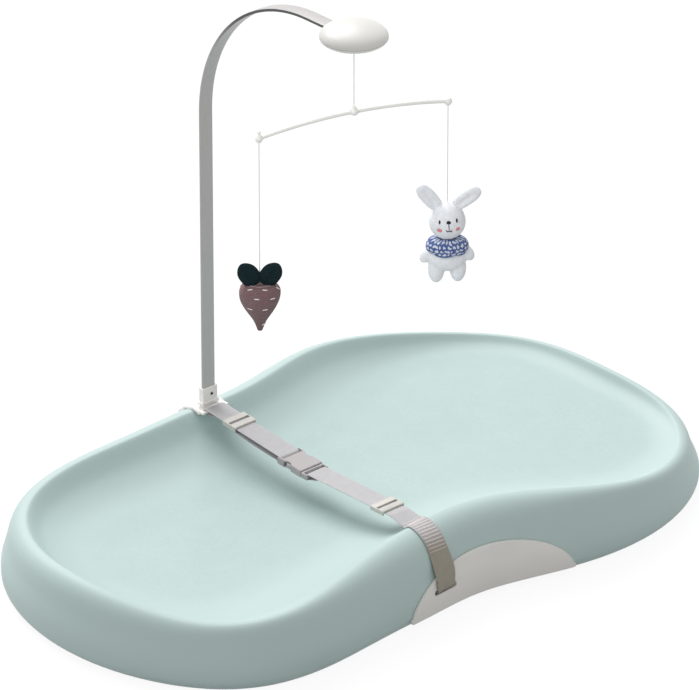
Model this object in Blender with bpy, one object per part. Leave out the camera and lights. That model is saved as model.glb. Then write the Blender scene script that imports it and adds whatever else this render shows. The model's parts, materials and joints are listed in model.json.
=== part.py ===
"""Changing mat with a safety belt, a bowed arm and a small hanging mobile.

The mat lies along X, the arm stands at its rear edge (+Y) and Z is up.
The origin is on the flat underside, halfway along the mat.
"""
import math

import bmesh
import bpy
import numpy as np
from mathutils import Matrix, Vector
from mathutils.bvhtree import BVHTree

# Shared clearances and overruns
gap = 0.0003
seat_gap = 0.0005
cut_overrun = 0.004

# Mat: overall length, and its outline and rim as seen from above
mat_length = 0.760
outline_angles = [0, 18, 35, 52, 70, 90, 110, 128, 145, 162, 180]
outline_radius_shares = [1.000, 1.015, 0.923, 0.756, 0.586, 0.506, 0.546, 0.673, 0.883, 0.977, 1.000]
rim_angles = [0, 30, 60, 90, 112, 135, 158, 180]
rim_top = 0.0965
rim_height_shares = [0.615, 0.580, 0.895, 1.000, 0.965, 0.845, 0.735, 0.800]
bed_angles = [0, 40, 70, 90, 135, 180]
crest_inset = 0.0315
crest_inset_shares = [0.76, 0.88, 1.00, 1.00, 0.98, 0.82]
bed_inset = 0.095
bed_inset_shares = [0.50, 0.62, 0.80, 1.00, 0.74, 0.53]
bed_edge_height = 0.0456
bed_middle_height = 0.0400
base_round = 0.013
wall_lean = 0.0075
shoulder_height = 0.024
widest_height_share = 0.45
mat_sides = 72

# Side covers on the waist, with pegs that push into the foam
cover_length = 0.204
cover_middle_x = 0.0073
cover_height = 0.0545
cover_tip_height = 0.0115
cover_floor_gap = 0.0065
cover_thickness = 0.0030
cover_edge_round = 0.0012
cover_fullness = 2.05
cover_slot_width = 0.0310
cover_slot_height = 0.0052
cover_slot_z = 0.0290
peg_radius = 0.0030
peg_length = 0.022
peg_spacing = 0.166
peg_height = 0.024

# Webbing and the pin that holds its front end behind the cover
belt_x = -0.047
webbing_width = 0.025
webbing_thickness = 0.0013
webbing_side_gap = 0.0005
belt_bar = 0.0024
strap_tail = 0.013
return_sag = 0.0022
front_bend_inset = 0.0646
front_bend_height = 0.0880
rib_pitch = 0.0037
rib_height = 0.0006
strap_pin_radius = 0.0025
strap_pin_length = 0.038
strap_pin_inset = 0.0040
pocket_gap = 0.0010

# Adjusters
adjuster_length = 0.0195
adjuster_rail = 0.0015
adjuster_wide_bar = 0.0078
adjuster_middle_bar = 0.0040
adjuster_bar_thickness = 0.0016
adjuster_rear_reach = 0.037
adjuster_front_reach = 0.018

# Buckle
buckle_y = 0.0196
buckle_height = 0.0852
buckle_width = 0.030
buckle_thickness = 0.0080
buckle_edge_round = 0.0008
socket_length = 0.035
socket_slot = 0.0045
socket_mouth_width = 0.0250
socket_mouth_height = 0.0048
socket_mouth_depth = 0.0260
notch_radius = 0.0070
notch_offset = 0.0040
plug_thickness = 0.0060
plug_mouth_bar = 0.0025
plug_slot = 0.0045
tongue_width = 0.0060
tongue_length = 0.0215
prong_thickness = 0.0042
prong_arm_width = 0.0028
prong_arm_x = 0.0100
prong_head_x = 0.0146
prong_head_start = 0.0142
prong_head_length = 0.0108
prong_neck_share = 0.8

# Arm with its socket and bracket
arm_width = 0.0158
arm_thickness = 0.0030
arm_post_inset = 0.0348
arm_bend_radius = 0.1575
arm_nose_height = 0.5852
arm_bend_steps = 16
socket_flange_height = 0.0036
socket_cap_height = 0.0154
socket_cap_wall = 0.0014
socket_flange_wall = 0.0030
socket_sleeve_wall = 0.0010
socket_foot_height = 0.0520
socket_floor = 0.0030
arm_screw_radius = 0.0015
arm_screw_length = 0.0022
arm_screw_recess = 0.0010
arm_screw_drop = 0.0081
arm_screw_aside = 0.0020
lip_bar_setback = 0.0103
lip_bar_lift = 0.0040
bracket_width = 0.034
bracket_slot = 0.0034

# Pod at the arm's end
pod_y = -0.0613
pod_radius = 0.0339
pod_top_height = 0.0140
pod_bottom_depth = 0.0095
pod_wall = 0.0018
pod_fullness = 2.0
block_width = 0.022
block_front = 0.0090
block_rear = 0.0210
block_height = 0.0096
arm_end_offset = 0.0080
swivel_radius = 0.0015
swivel_head_radius = 0.0032
swivel_head_height = 0.0014
swivel_foot_radius = 0.0025
swivel_foot_height = 0.0028

# Mobile
mobile_heading = math.radians(-17.7)
thread_radius = 0.00045
main_thread_points = 17
left_thread_points = 37
right_thread_points = 26
crossbar_height = 0.5045
crossbar_half_length = 0.1012
crossbar_radius = 0.0020
crossbar_drop = 0.0087
knob_radius = 0.0048
knob_top_radius = 0.0011
knob_above = 0.0064
knob_below = 0.0034
cap_radius = 0.0035
cap_height = 0.0074
bead_radius = 0.0020

# Carrot toy
carrot_heading = math.radians(-40)
carrot_top_height = 0.3388
carrot_length = 0.0516
carrot_radius = 0.0203
carrot_depth_share = 0.72
carrot_width_shares = [0.10, 0.19, 0.34, 0.52, 0.72, 0.89, 0.98, 1.00, 0.93, 0.76, 0.48, 0.16]
carrot_height_shares = [0.00, 0.02, 0.10, 0.24, 0.42, 0.61, 0.74, 0.84, 0.92, 0.97, 0.995, 1.00]
leaf = (0.0098, 0.0045, 0.0128)
leaf_aside = 0.0104
leaf_lift = 0.0110
leaf_tilt = math.radians(26)

# Bunny toy: half sizes across, front to back and up, and places aside and above the feet
bunny_heading = math.radians(-36)
bunny_foot_height = 0.2980
bunny_head = (0.0181, 0.0168, 0.0192)
bunny_head_place = (0.0000, 0.0680)
bunny_head_taper_share = -0.08
bunny_body = (0.0184, 0.0135, 0.0192)
bunny_body_place = (0.0000, 0.0280)
bunny_body_taper_share = -0.12
bunny_collar = (0.0214, 0.0172, 0.0096)
bunny_collar_place = (0.0000, 0.0425)
bunny_ear = (0.0064, 0.0036, 0.0178)
bunny_ear_place = (0.0185, 0.0935)
bunny_ear_taper_share = 0.10
bunny_ear_tilt = math.radians(43)
bunny_arm = (0.0100, 0.0064, 0.0062)
bunny_arm_place = (0.0196, 0.0270)
bunny_arm_tilt = math.radians(28)
bunny_leg = (0.0086, 0.0084, 0.0126)
bunny_leg_place = (0.0104, 0.0126)


def clear_scene():
    for item in list(bpy.data.objects):
        bpy.data.objects.remove(item, do_unlink=True)


def make_material(name, colour, roughness, metallic=0.0):
    material = bpy.data.materials.new(name)
    material.use_nodes = True
    shader = material.node_tree.nodes["Principled BSDF"]
    shader.inputs["Base Color"].default_value = (*colour, 1.0)
    shader.inputs["Roughness"].default_value = roughness
    shader.inputs["Metallic"].default_value = metallic
    return material


def add_object(name, data, material=None, parent=None, place=(0, 0, 0), turn=(0, 0, 0)):
    item = bpy.data.objects.new(name, data)
    bpy.context.scene.collection.objects.link(item)
    item.location = place
    item.rotation_euler = turn
    item.parent = parent
    if material is not None:
        data.materials.append(material)
    return item


def add_empty(name, place, turn=(0, 0, 0), parent=None):
    item = bpy.data.objects.new(name, None)
    bpy.context.scene.collection.objects.link(item)
    item.location = place
    item.rotation_euler = turn
    item.parent = parent
    return item


def finish_mesh(bm, name):
    """Turns a bmesh into a mesh with outward faces and smooth round surfaces."""
    bmesh.ops.recalc_face_normals(bm, faces=bm.faces[:])
    mesh = bpy.data.meshes.new(name)
    bm.to_mesh(mesh)
    bm.free()
    mesh.shade_smooth()
    mesh.set_sharp_from_angle(angle=math.radians(35))
    return mesh


def rings_mesh(name, rings):
    """Closed mesh through rings of points, with one face on each end."""
    bm = bmesh.new()
    rows = [[bm.verts.new(point) for point in ring] for ring in rings]
    for low, high in zip(rows, rows[1:]):
        for i in range(len(low)):
            j = (i + 1) % len(low)
            bm.faces.new((low[i], low[j], high[j], high[i]))
    bm.faces.new(rows[0])
    bm.faces.new(rows[-1])
    return finish_mesh(bm, name)


def block_mesh(name, size, centre=(0, 0, 0), bevel=0):
    bm = bmesh.new()
    bmesh.ops.create_cube(bm, size=1)
    bmesh.ops.scale(bm, vec=size, verts=bm.verts)
    bmesh.ops.translate(bm, vec=centre, verts=bm.verts)
    if bevel:
        bmesh.ops.bevel(bm, geom=bm.edges[:], offset=bevel, segments=1, affect="EDGES")
    return finish_mesh(bm, name)


def turned_mesh(name, profile, sides=24, depth_share=1.0):
    """Solid of revolution about Z through (radius, height) points."""
    rings = []
    for radius, height in profile:
        ring = []
        for i in range(sides):
            angle = 2 * math.pi * i / sides
            ring.append((radius * math.cos(angle), depth_share * radius * math.sin(angle), height))
        rings.append(ring)
    return rings_mesh(name, rings)


def rod_mesh(name, radius, low, high, sides=12):
    return turned_mesh(name, [(radius, low), (radius, high)], sides)


def ball_mesh(name, radii, taper_share=0.0, grow=0.0):
    """Egg form whose upper end is wider where the taper is above zero."""
    bm = bmesh.new()
    bmesh.ops.create_uvsphere(bm, u_segments=16, v_segments=10, radius=1)
    for vert in bm.verts:
        width = 1 + taper_share * vert.co.z
        x = vert.co.x * width * (radii[0] + grow)
        y = vert.co.y * width * (radii[1] + grow)
        vert.co = (x, y, vert.co.z * (radii[2] + grow))
    return finish_mesh(bm, name)


def cord_curve(name, length, points):
    """Round cord from its top at the origin straight down."""
    curve = bpy.data.curves.new(name, "CURVE")
    curve.dimensions = "3D"
    curve.bevel_depth = thread_radius
    curve.bevel_resolution = 2
    curve.use_fill_caps = True
    spline = curve.splines.new("POLY")
    spline.points.add(points - 1)
    for i, point in enumerate(spline.points):
        point.co = (0, 0, -length * i / (points - 1), 1)
    return curve


def offset_path(path, distances):
    """Path moved to its left by a distance for each point, with its corners mitred."""
    points = [Vector(point) for point in path]
    moved = []
    for i, point in enumerate(points):
        before = (point - points[i - 1]).normalized() if i else None
        after = (points[i + 1] - point).normalized() if i + 1 < len(points) else None
        before = before or after
        after = after or before
        normal = Vector((-before.y - after.y, before.x + after.x)).normalized()
        stretch = max(0.6, normal.dot(Vector((-before.y, before.x))))
        moved.append(tuple(point + normal * (distances[i] / stretch)))
    return moved


def ribbon_mesh(name, paths, xs, thickness, ribs=None):
    """Flat strip that follows a path of (y, z) points at each place along X."""
    ribs = ribs or [0.0] * len(paths[0])
    inner = [thickness / 2] * len(ribs)
    outer = [-thickness / 2 - rib for rib in ribs]
    lines = [[(x, *point) for point in offset_path(path, inner)] for x, path in zip(xs, paths)]
    lines += [[(x, *point) for point in offset_path(path, outer)] for x, path in zip(xs[::-1], paths[::-1])]
    return rings_mesh(name, list(zip(*lines)))


def arc_points(centre, radius, start, end, steps):
    """Points on an arc in the Y and Z plane, angles in degrees from +Y towards +Z."""
    points = []
    for i in range(steps + 1):
        angle = math.radians(start + (end - start) * i / steps)
        points.append((centre[0] + radius * math.cos(angle), centre[1] + radius * math.sin(angle)))
    return points


def spread_evenly(path, count):
    """Points at even steps along a path."""
    points = [Vector(point) for point in path]
    lengths = [0.0]
    for a, b in zip(points, points[1:]):
        lengths.append(lengths[-1] + (b - a).length)
    spread = []
    for i in range(count):
        at = lengths[-1] * i / (count - 1)
        j = min(max(int(np.searchsorted(lengths, at)), 1), len(points) - 1)
        share = (at - lengths[j - 1]) / (lengths[j] - lengths[j - 1])
        spread.append(tuple(points[j - 1].lerp(points[j], share)))
    return spread


def combine(target, mesh, operation="DIFFERENCE", place=None, turn=None, parent=None):
    """Boolean with a hidden helper, which sits on the target unless it has its own place."""
    place = target.location if place is None else place
    turn = target.rotation_euler if turn is None else turn
    helper = add_object(target.name + "_helper", mesh, None, parent or target.parent, place, turn)
    helper.hide_render = True
    helper.display_type = "WIRE"
    modifier = target.modifiers.new("Boolean", "BOOLEAN")
    modifier.operation = operation
    modifier.solver = "EXACT"
    modifier.object = helper


def cut_box(target, low, high, place=None, turn=None):
    """Cuts a box between two opposite corners."""
    size = [b - a for a, b in zip(low, high)]
    centre = [(a + b) / 2 for a, b in zip(low, high)]
    combine(target, block_mesh("cut", size, centre), "DIFFERENCE", place, turn)


def add_box(target, low, high):
    size = [b - a for a, b in zip(low, high)]
    centre = [(a + b) / 2 for a, b in zip(low, high)]
    combine(target, block_mesh("add", size, centre), "UNION")


def smooth_curve(knots, values):
    """Smooth function through values, level at both ends."""
    knots, values = np.array(knots, float), np.array(values, float)
    step = np.diff(knots)
    rise = np.diff(values) / step
    matrix, right = np.eye(len(knots)), np.zeros(len(knots))
    for i in range(1, len(knots) - 1):
        matrix[i, i - 1:i + 2] = (step[i], 2 * (step[i - 1] + step[i]), step[i - 1])
        right[i] = 3 * (rise[i - 1] * step[i] + rise[i] * step[i - 1])
    slope = np.linalg.solve(matrix, right)

    def value(at):
        i = int(min(max(np.searchsorted(knots, at) - 1, 0), len(knots) - 2))
        t = (at - knots[i]) / step[i]
        bend = slope[i] * t * (1 - t) ** 2 - slope[i + 1] * t * t * (1 - t)
        return float(values[i] * (1 - t) ** 2 * (1 + 2 * t) + values[i + 1] * t * t * (3 - 2 * t) + bend * step[i])
    return value


outline_curve = smooth_curve(outline_angles, outline_radius_shares)
rim_curve = smooth_curve(rim_angles, rim_height_shares)
crest_curve = smooth_curve(bed_angles, crest_inset_shares)
bed_curve = smooth_curve(bed_angles, bed_inset_shares)


def outline_point(degrees):
    """Point of the mat's widest line, seen from above."""
    radius = mat_length / 2 * outline_curve(abs((degrees + 180) % 360 - 180))
    return Vector((radius * math.cos(math.radians(degrees)), radius * math.sin(math.radians(degrees))))


def outward_at(degrees):
    along = (outline_point(degrees + 1) - outline_point(degrees - 1)).normalized()
    return Vector((along.y, -along.x))


def section(degrees):
    """The mat's edge as (inset, height) points from the underside over the rim to the bed."""
    folded = abs((degrees + 180) % 360 - 180)
    height = rim_top * rim_curve(folded)
    crest = crest_inset * crest_curve(folded)
    bed = bed_inset * bed_curve(folded)
    points = []
    for share in (0.0, 0.5, 1.0):
        angle = share * math.pi / 2
        points.append((base_round * (1 - math.sin(angle)), base_round * (1 - math.cos(angle))))
    points.append((0.0, widest_height_share * height))
    for share in (0.0, 0.4, 0.7, 1.0):
        angle = share * math.pi / 2
        inset = wall_lean + (crest - wall_lean) * (1 - math.cos(angle))
        points.append((inset, height - shoulder_height * (1 - math.sin(angle))))
    for share in (0.10, 0.26, 0.50, 0.75, 1.0):
        fall = share * share * (3 - 2 * share)
        points.append((crest + (bed - crest) * share, height + (bed_edge_height - height) * fall))
    return points


def angle_at(x, side):
    """Angle of the outline at a place along X, on the rear side (1) or the front side (-1)."""
    low, high = 0.0, 180.0
    for _ in range(30):
        middle = (low + high) / 2
        if outline_point(middle).x > x:
            low = middle
        else:
            high = middle
    return side * low


def wall_point(x, side, height, offset):
    """Point off the mat's wall at a place along X and a height."""
    degrees = angle_at(x, side)
    points = section(degrees)
    lean = wall_lean * max(0.0, (height - points[3][1]) / (points[4][1] - points[3][1]))
    flat = outline_point(degrees) + outward_at(degrees) * (offset - lean)
    return Vector((flat.x, flat.y, height))


def wall_y(x, side):
    return outline_point(angle_at(x, side)).y


def wall_heading(x, side):
    """Turn about Z that lays a piece along the wall."""
    outward = outward_at(angle_at(x, side))
    return math.atan2(-side * outward.x, side * outward.y)


def surface_path(x, side, start, end, offset):
    """(y, z) points off the rim's surface, met by a fan of rays from inside it, angles from level outwards."""
    core = Vector((x, side * arm_post_y, shoulder_height * 2))
    steps = round((start - end) / 3)
    hits = []
    for i in range(steps + 1):
        turn = math.radians(start + (end - start) * i / steps)
        hit = mat_surface.ray_cast(core, Vector((0, side * math.cos(turn), math.sin(turn))))[0]
        hits.append((side * hit.y, hit.z))
    return [(side * y, z) for y, z in offset_path(hits, [offset] * len(hits))]


def mat_mesh():
    rings = [[] for _ in range(15)]
    for i in range(mat_sides):
        degrees = 360 * i / mat_sides
        points = section(degrees)
        for ring, (inset, height) in zip(rings, points):
            flat = outline_point(degrees) - outward_at(degrees) * inset
            ring.append((flat.x, flat.y, height))
        for ring, share in zip(rings[13:], (0.66, 0.30)):
            height = bed_middle_height + (bed_edge_height - bed_middle_height) * share * share
            ring.append((flat.x * share, flat.y * share, height))
    return rings_mesh("mat_body", rings)


def cover_top(x):
    """Height of a side cover's round edge at a place along X."""
    share = min(1.0, abs(x - cover_middle_x) / (cover_length / 2))
    return max(cover_tip_height, cover_height * (1 - share ** cover_fullness) ** (1 / cover_fullness))


def cover_mesh(name, side):
    """Half-moon cover that follows the wall of the waist."""
    columns = 22
    start = cover_middle_x - cover_length / 2
    xs = [start + cover_length * (1 - math.cos(math.pi * i / columns)) / 2 for i in range(columns + 1)]
    xs = [xs[0], xs[0] + cover_edge_round] + xs[2:-2] + [xs[-1] - cover_edge_round, xs[-1]]
    bm = bmesh.new()
    front, back = [], []
    for x in xs:
        low, high = cover_floor_gap, cover_top(x)
        widest = min(section(angle_at(x, side))[3][1], high - cover_edge_round * 2)
        heights = [low, low + cover_edge_round, widest, high - cover_edge_round, high]
        outer, inner = [], []
        for height in heights:
            edge = x in (xs[0], xs[-1]) or height in (low, high)
            proud = seat_gap + cover_thickness - (cover_edge_round if edge else 0)
            outer.append(bm.verts.new(wall_point(x, side, height, proud)))
            inner.append(bm.verts.new(wall_point(x, side, height, seat_gap)))
        front.append(outer)
        back.append(inner)
    for grid in (front, back):
        for a, b in zip(grid, grid[1:]):
            for j in range(len(a) - 1):
                bm.faces.new((a[j], b[j], b[j + 1], a[j + 1]))
    for i in (0, len(xs) - 1):
        for j in range(len(front[i]) - 1):
            bm.faces.new((front[i][j], front[i][j + 1], back[i][j + 1], back[i][j]))
    for j in (0, -1):
        for a, b, c, d in zip(front, front[1:], back[1:], back):
            bm.faces.new((a[j], b[j], c[j], d[j]))
    return finish_mesh(bm, name)


def peg_places(side):
    """Place of each cover peg's axis on the wall line."""
    for step in (-1, 1):
        x = cover_middle_x + step * peg_spacing / 2
        yield Vector((x, wall_y(x, side), peg_height))


def peg_mesh(side, start, end, grow=0):
    """Peg along Y whose ends lie inside the mat's wall line, a start below zero being outside it."""
    mesh = rod_mesh("peg", peg_radius + grow, start, end)
    mesh.transform(Matrix.Rotation(side * math.pi / 2, 4, "X"))
    return mesh


def make_mat():
    mat = add_object("mat_body", mat_mesh(), mint)
    for side in (-1, 1):
        for place in peg_places(side):
            mesh = peg_mesh(side, -cut_overrun, peg_length + seat_gap, gap)
            combine(mat, mesh, "DIFFERENCE", place, (0, 0, 0))
    room_x = arm_width / 2 + sleeve_room + seat_gap
    room_y = arm_thickness / 2 + sleeve_room + seat_gap
    low = (-room_x, -room_y, socket_foot_height - seat_gap)
    cut_box(mat, low, (room_x, room_y, rim_top + cut_overrun), (belt_x, arm_post_y, 0))
    half_pin = strap_pin_length / 2 + pocket_gap
    low = (-half_pin, -cover_thickness - cut_overrun, pin_height - pin_wrap - pocket_gap)
    high = (half_pin, pin_inset + pin_wrap + pocket_gap, pin_height + pin_wrap + pocket_gap)
    cut_box(mat, low, high, (belt_x, wall_y(belt_x, -1), 0), (0, 0, wall_heading(belt_x, -1)))
    return mat


def make_cover(name, side):
    cover = add_object(name, cover_mesh(name, side), greige)
    for place in peg_places(side):
        combine(cover, peg_mesh(side, -seat_gap - cover_thickness / 2, peg_length), "UNION", place, (0, 0, 0))
    if side < 0:
        reach = cover_thickness + cut_overrun
        low = (-cover_slot_width / 2, -reach, cover_slot_z - cover_slot_height / 2)
        high = (cover_slot_width / 2, pin_inset, cover_slot_z + cover_slot_height / 2)
        cut_box(cover, low, high, (belt_x, wall_y(belt_x, side), 0), (0, 0, wall_heading(belt_x, side)))
    return cover


def make_strap_pin():
    mesh = rod_mesh("strap_pin_front", strap_pin_radius, -strap_pin_length / 2, strap_pin_length / 2)
    mesh.transform(Matrix.Rotation(math.pi / 2, 4, "Y"))
    place = (belt_x, wall_y(belt_x, -1) + pin_inset, pin_height)
    return add_object("strap_pin_front", mesh, steel, None, place, (0, 0, wall_heading(belt_x, -1)))


def make_bracket():
    paths = []
    xs = (belt_x - bracket_width / 2, belt_x, belt_x + bracket_width / 2)
    slot_end = lip_bar_y + belt_bar / 2 + bracket_slot
    for x in xs:
        over = surface_path(x, 1, 94, 26, seat_gap + gap + belt_bar / 2)
        paths.append([(lip_bar_y - belt_bar / 2, lip_bar_height), (slot_end, lip_bar_height)] + over)
    bracket = add_object("arm_bracket", ribbon_mesh("arm_bracket", paths, xs, belt_bar), greige)
    half = webbing_width / 2 + webbing_side_gap
    place = (belt_x, lip_bar_y, lip_bar_height)
    low = (-half, belt_bar / 2, -belt_bar - cut_overrun)
    cut_box(bracket, low, (half, belt_bar / 2 + bracket_slot, belt_bar + cut_overrun), place)
    room_x = arm_width / 2 + sleeve_room + gap
    room_y = arm_thickness / 2 + sleeve_room + gap
    low = (-room_x, -room_y, -shoulder_height)
    cut_box(bracket, low, (room_x, room_y, shoulder_height), (belt_x, arm_post_y, lip_bar_height))
    return bracket


def make_socket():
    place = (belt_x, arm_post_y, 0)
    half = Vector((arm_width / 2 + gap, arm_thickness / 2 + gap))
    size = (2 * (half.x + socket_cap_wall), 2 * (half.y + socket_cap_wall), socket_cap_height)
    centre = (0, 0, socket_top_height - socket_cap_height / 2)
    socket = add_object("arm_socket", block_mesh("arm_socket", size, centre), greige, None, place)
    flange = half + Vector((socket_flange_wall, socket_flange_wall - socket_sleeve_wall))
    top = socket_top_height - socket_cap_height
    add_box(socket, (-flange.x, -flange.y, bracket_top + gap), (flange.x, flange.y, top))
    sleeve = half + Vector((socket_sleeve_wall, socket_sleeve_wall))
    add_box(socket, (-sleeve.x, -sleeve.y, socket_foot_height), (sleeve.x, sleeve.y, top))
    low = (-half.x, -half.y, socket_foot_height + socket_floor)
    cut_box(socket, low, (half.x, half.y, socket_top_height + cut_overrun))
    hole = rod_mesh("hole", arm_screw_radius + gap, 0, socket_cap_wall + gap + cut_overrun)
    turn = (math.pi / 2, 0, 0)
    combine(socket, hole, "DIFFERENCE", screw_place + Vector((0, gap, 0)), turn)
    return socket


def make_arm_screw():
    bore, low = arm_screw_radius / 2, arm_screw_length - arm_screw_recess
    profile = [(arm_screw_radius, 0), (arm_screw_radius, arm_screw_length), (bore, arm_screw_length), (bore, low)]
    turn = (math.pi / 2, 0, 0)
    return add_object("arm_screw", turned_mesh("arm_screw", profile, 12), dark_screw, None, screw_place, turn)


def make_arm():
    """Flat strip that stands in the socket and bends over to the pod."""
    bend = (arm_post_y - arm_bend_radius, arm_nose_height - arm_bend_radius)
    path = [(arm_post_y, socket_foot_height + socket_floor + gap)]
    path += arc_points(bend, arm_bend_radius, 0, 90, arm_bend_steps)
    path.append((pod_y + arm_end_offset, arm_nose_height))
    xs = (belt_x - arm_width / 2, belt_x + arm_width / 2)
    place = Vector((belt_x, arm_post_y, socket_top_height))
    mesh = ribbon_mesh("arm_bar", [path, path], xs, arm_thickness)
    mesh.transform(Matrix.Translation(-place))
    return add_object("arm_bar", mesh, grey_metal, None, place)


def dome_profile(radius, height, steps):
    """Outer line of a dome from its rim to near its middle, as (radius, height) points."""
    points = []
    for i in range(steps):
        angle = math.pi / 2 * i / steps
        points.append((radius * math.cos(angle), height * math.sin(angle) ** (2 / pod_fullness)))
    points.append((swivel_radius, height))
    return points


def make_pod_shell(name, height, facing):
    outer = dome_profile(pod_radius, height, 8)
    inner = dome_profile(pod_radius - pod_wall, height - pod_wall, 8)
    profile = [(r, facing * (gap / 2 + h)) for r, h in inner[::-1] + outer]
    shell = add_object(name, turned_mesh(name, profile, 40), pod_plastic, None, pod_place)
    half = Vector((arm_width / 2 + gap, arm_thickness / 2 + gap))
    cut_box(shell, (-half.x, 0, -half.y), (half.x, pod_radius + cut_overrun, half.y))
    if facing < 0:
        combine(shell, rod_mesh("hole", swivel_radius + gap * 2, -height - cut_overrun, 0))
    return shell


def make_pod_block():
    """Clamp inside the pod that joins the arm's end to the swivel's pin."""
    size = (block_width, block_front + block_rear, block_height)
    centre = (0, (block_rear - block_front) / 2, 0)
    block = add_object("pod_block", block_mesh("pod_block", size, centre), inner_plastic, None, pod_place)
    half = Vector((arm_width / 2 + gap, arm_thickness / 2 + gap))
    cut_box(block, (-half.x, arm_end_offset - gap, -half.y), (half.x, block_rear + cut_overrun, half.y))
    reach = block_height / 2 + cut_overrun
    combine(block, rod_mesh("bore", swivel_radius + gap, -reach, reach), "DIFFERENCE")
    return block


def make_swivel():
    """Headed pin that hangs through the block and the pod's lower shell."""
    foot = -pod_bottom_depth - gap * 2
    top = block_height / 2 + gap
    profile = [(swivel_foot_radius, foot - swivel_foot_height), (swivel_foot_radius, foot)]
    profile += [(swivel_radius, foot), (swivel_radius, top), (swivel_head_radius, top)]
    profile += [(swivel_head_radius, top + swivel_head_height)]
    return add_object("swivel_pin", turned_mesh("swivel_pin", profile, 16), white_plastic, swivel)


def crossbar_mesh(name, half_length, grow=0):
    """Rod along X that droops evenly to both ends."""
    rings = []
    for i in range(17):
        x = half_length * (i / 8 - 1)
        z = -crossbar_drop * (x / crossbar_half_length) ** 2
        ring = []
        for j in range(8):
            angle = 2 * math.pi * j / 8
            radius = crossbar_radius + grow
            ring.append((x, radius * math.cos(angle), z + radius * math.sin(angle)))
        rings.append(ring)
    return rings_mesh(name, rings)


def make_crossbar():
    mesh = crossbar_mesh("crossbar", crossbar_half_length - gap)
    return add_object("crossbar", mesh, white_plastic, bar)


def make_knob():
    profile = [(knob_radius / 2, -knob_below), (knob_radius, -knob_below / 2), (knob_radius, knob_below / 2)]
    profile += [(knob_top_radius, knob_above)]
    knob = add_object("centre_knob", turned_mesh("centre_knob", profile, 16), white_plastic, bar)
    combine(knob, crossbar_mesh("bore", crossbar_half_length, gap), "DIFFERENCE")
    return knob


def make_cap(name, side):
    place = (side * crossbar_half_length, 0, -crossbar_drop)
    profile = [(cap_radius, -cap_height / 2), (cap_radius, cap_height / 2)]
    cap = add_object(name, turned_mesh(name, profile, 16), white_plastic, bar, place)
    bore = crossbar_mesh("bore", crossbar_half_length, gap)
    combine(cap, bore, "DIFFERENCE", (0, 0, 0), (0, 0, 0))
    return cap


def make_bead():
    lift = -crossbar_drop + cap_height / 2 + gap + bead_radius
    mesh = ball_mesh("left_bead", (bead_radius, bead_radius, bead_radius))
    return add_object("left_bead", mesh, white_plastic, bar, (-crossbar_half_length, 0, lift))


def make_cord(name, parent, length, points):
    return add_object(name, cord_curve(name, length, points), thread, parent)


def make_carrot():
    profile = []
    for width, height in zip(carrot_width_shares, carrot_height_shares):
        profile.append((carrot_radius * width, carrot_length * (height - 1)))
    body = turned_mesh("carrot_body", profile, 20, carrot_depth_share)
    add_object("carrot_body", body, mauve_knit, carrot)
    for name, side in (("carrot_leaf_left", -1), ("carrot_leaf_right", 1)):
        turn = (0, side * leaf_tilt, 0)
        place = (side * leaf_aside, 0, leaf_lift)
        part = add_object(name, ball_mesh(name, leaf), green_knit, carrot, place, turn)
        grown = [(radius + gap, height) for radius, height in profile]
        grown = turned_mesh("grown", grown[:-1] + [(grown[-1][0], gap)], 20, carrot_depth_share)
        combine(part, grown, "DIFFERENCE", (0, 0, 0), (0, 0, 0))
        reach = leaf[2] * 2
        ends = sorted((side * (thread_radius + gap), -side * reach))
        cut_box(part, (ends[0], -reach, -reach), (ends[1], reach, leaf_lift + reach), (0, 0, 0), (0, 0, 0))


def stuffed_part(name, radii, place, side=0, tilt=0, taper_share=0.0, cutters=(), material=None):
    """Stuffed part of the bunny, cut back by the larger parts beside it."""
    part_place = (side * place[0], 0, place[1] - bunny_top)
    turn = (0, side * tilt, 0)
    part = add_object(name, ball_mesh(name, radii, taper_share), material or plush, bunny, part_place, turn)
    for cutter_radii, cutter_place, cutter_taper in cutters:
        grown = ball_mesh("grown", cutter_radii, cutter_taper, gap)
        combine(part, grown, "DIFFERENCE", (0, 0, cutter_place[1] - bunny_top), (0, 0, 0))
    return part


def make_bunny():
    head = (bunny_head, bunny_head_place, bunny_head_taper_share)
    body = (bunny_body, bunny_body_place, bunny_body_taper_share)
    collar = (bunny_collar, bunny_collar_place, 0.0)
    stuffed_part("bunny_head", bunny_head, bunny_head_place, taper_share=bunny_head_taper_share)
    stuffed_part("bunny_body", bunny_body, bunny_body_place, 0, 0, bunny_body_taper_share, [head])
    stuffed_part("bunny_collar", bunny_collar, bunny_collar_place, 0, 0, 0.0, [head, body], collar_cloth)
    for word, side in (("left", -1), ("right", 1)):
        taper = bunny_ear_taper_share
        stuffed_part("bunny_ear_" + word, bunny_ear, bunny_ear_place, side, bunny_ear_tilt, taper, [head])
        stuffed_part("bunny_arm_" + word, bunny_arm, bunny_arm_place, side, bunny_arm_tilt, 0.0, [body, collar])
        stuffed_part("bunny_leg_" + word, bunny_leg, bunny_leg_place, side, 0, 0.0, [body])


def belt_point(along):
    """Place in Y and Z on the buckle's middle line."""
    return (buckle_y + along * math.cos(rear_slope), buckle_height + along * math.sin(rear_slope))


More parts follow.
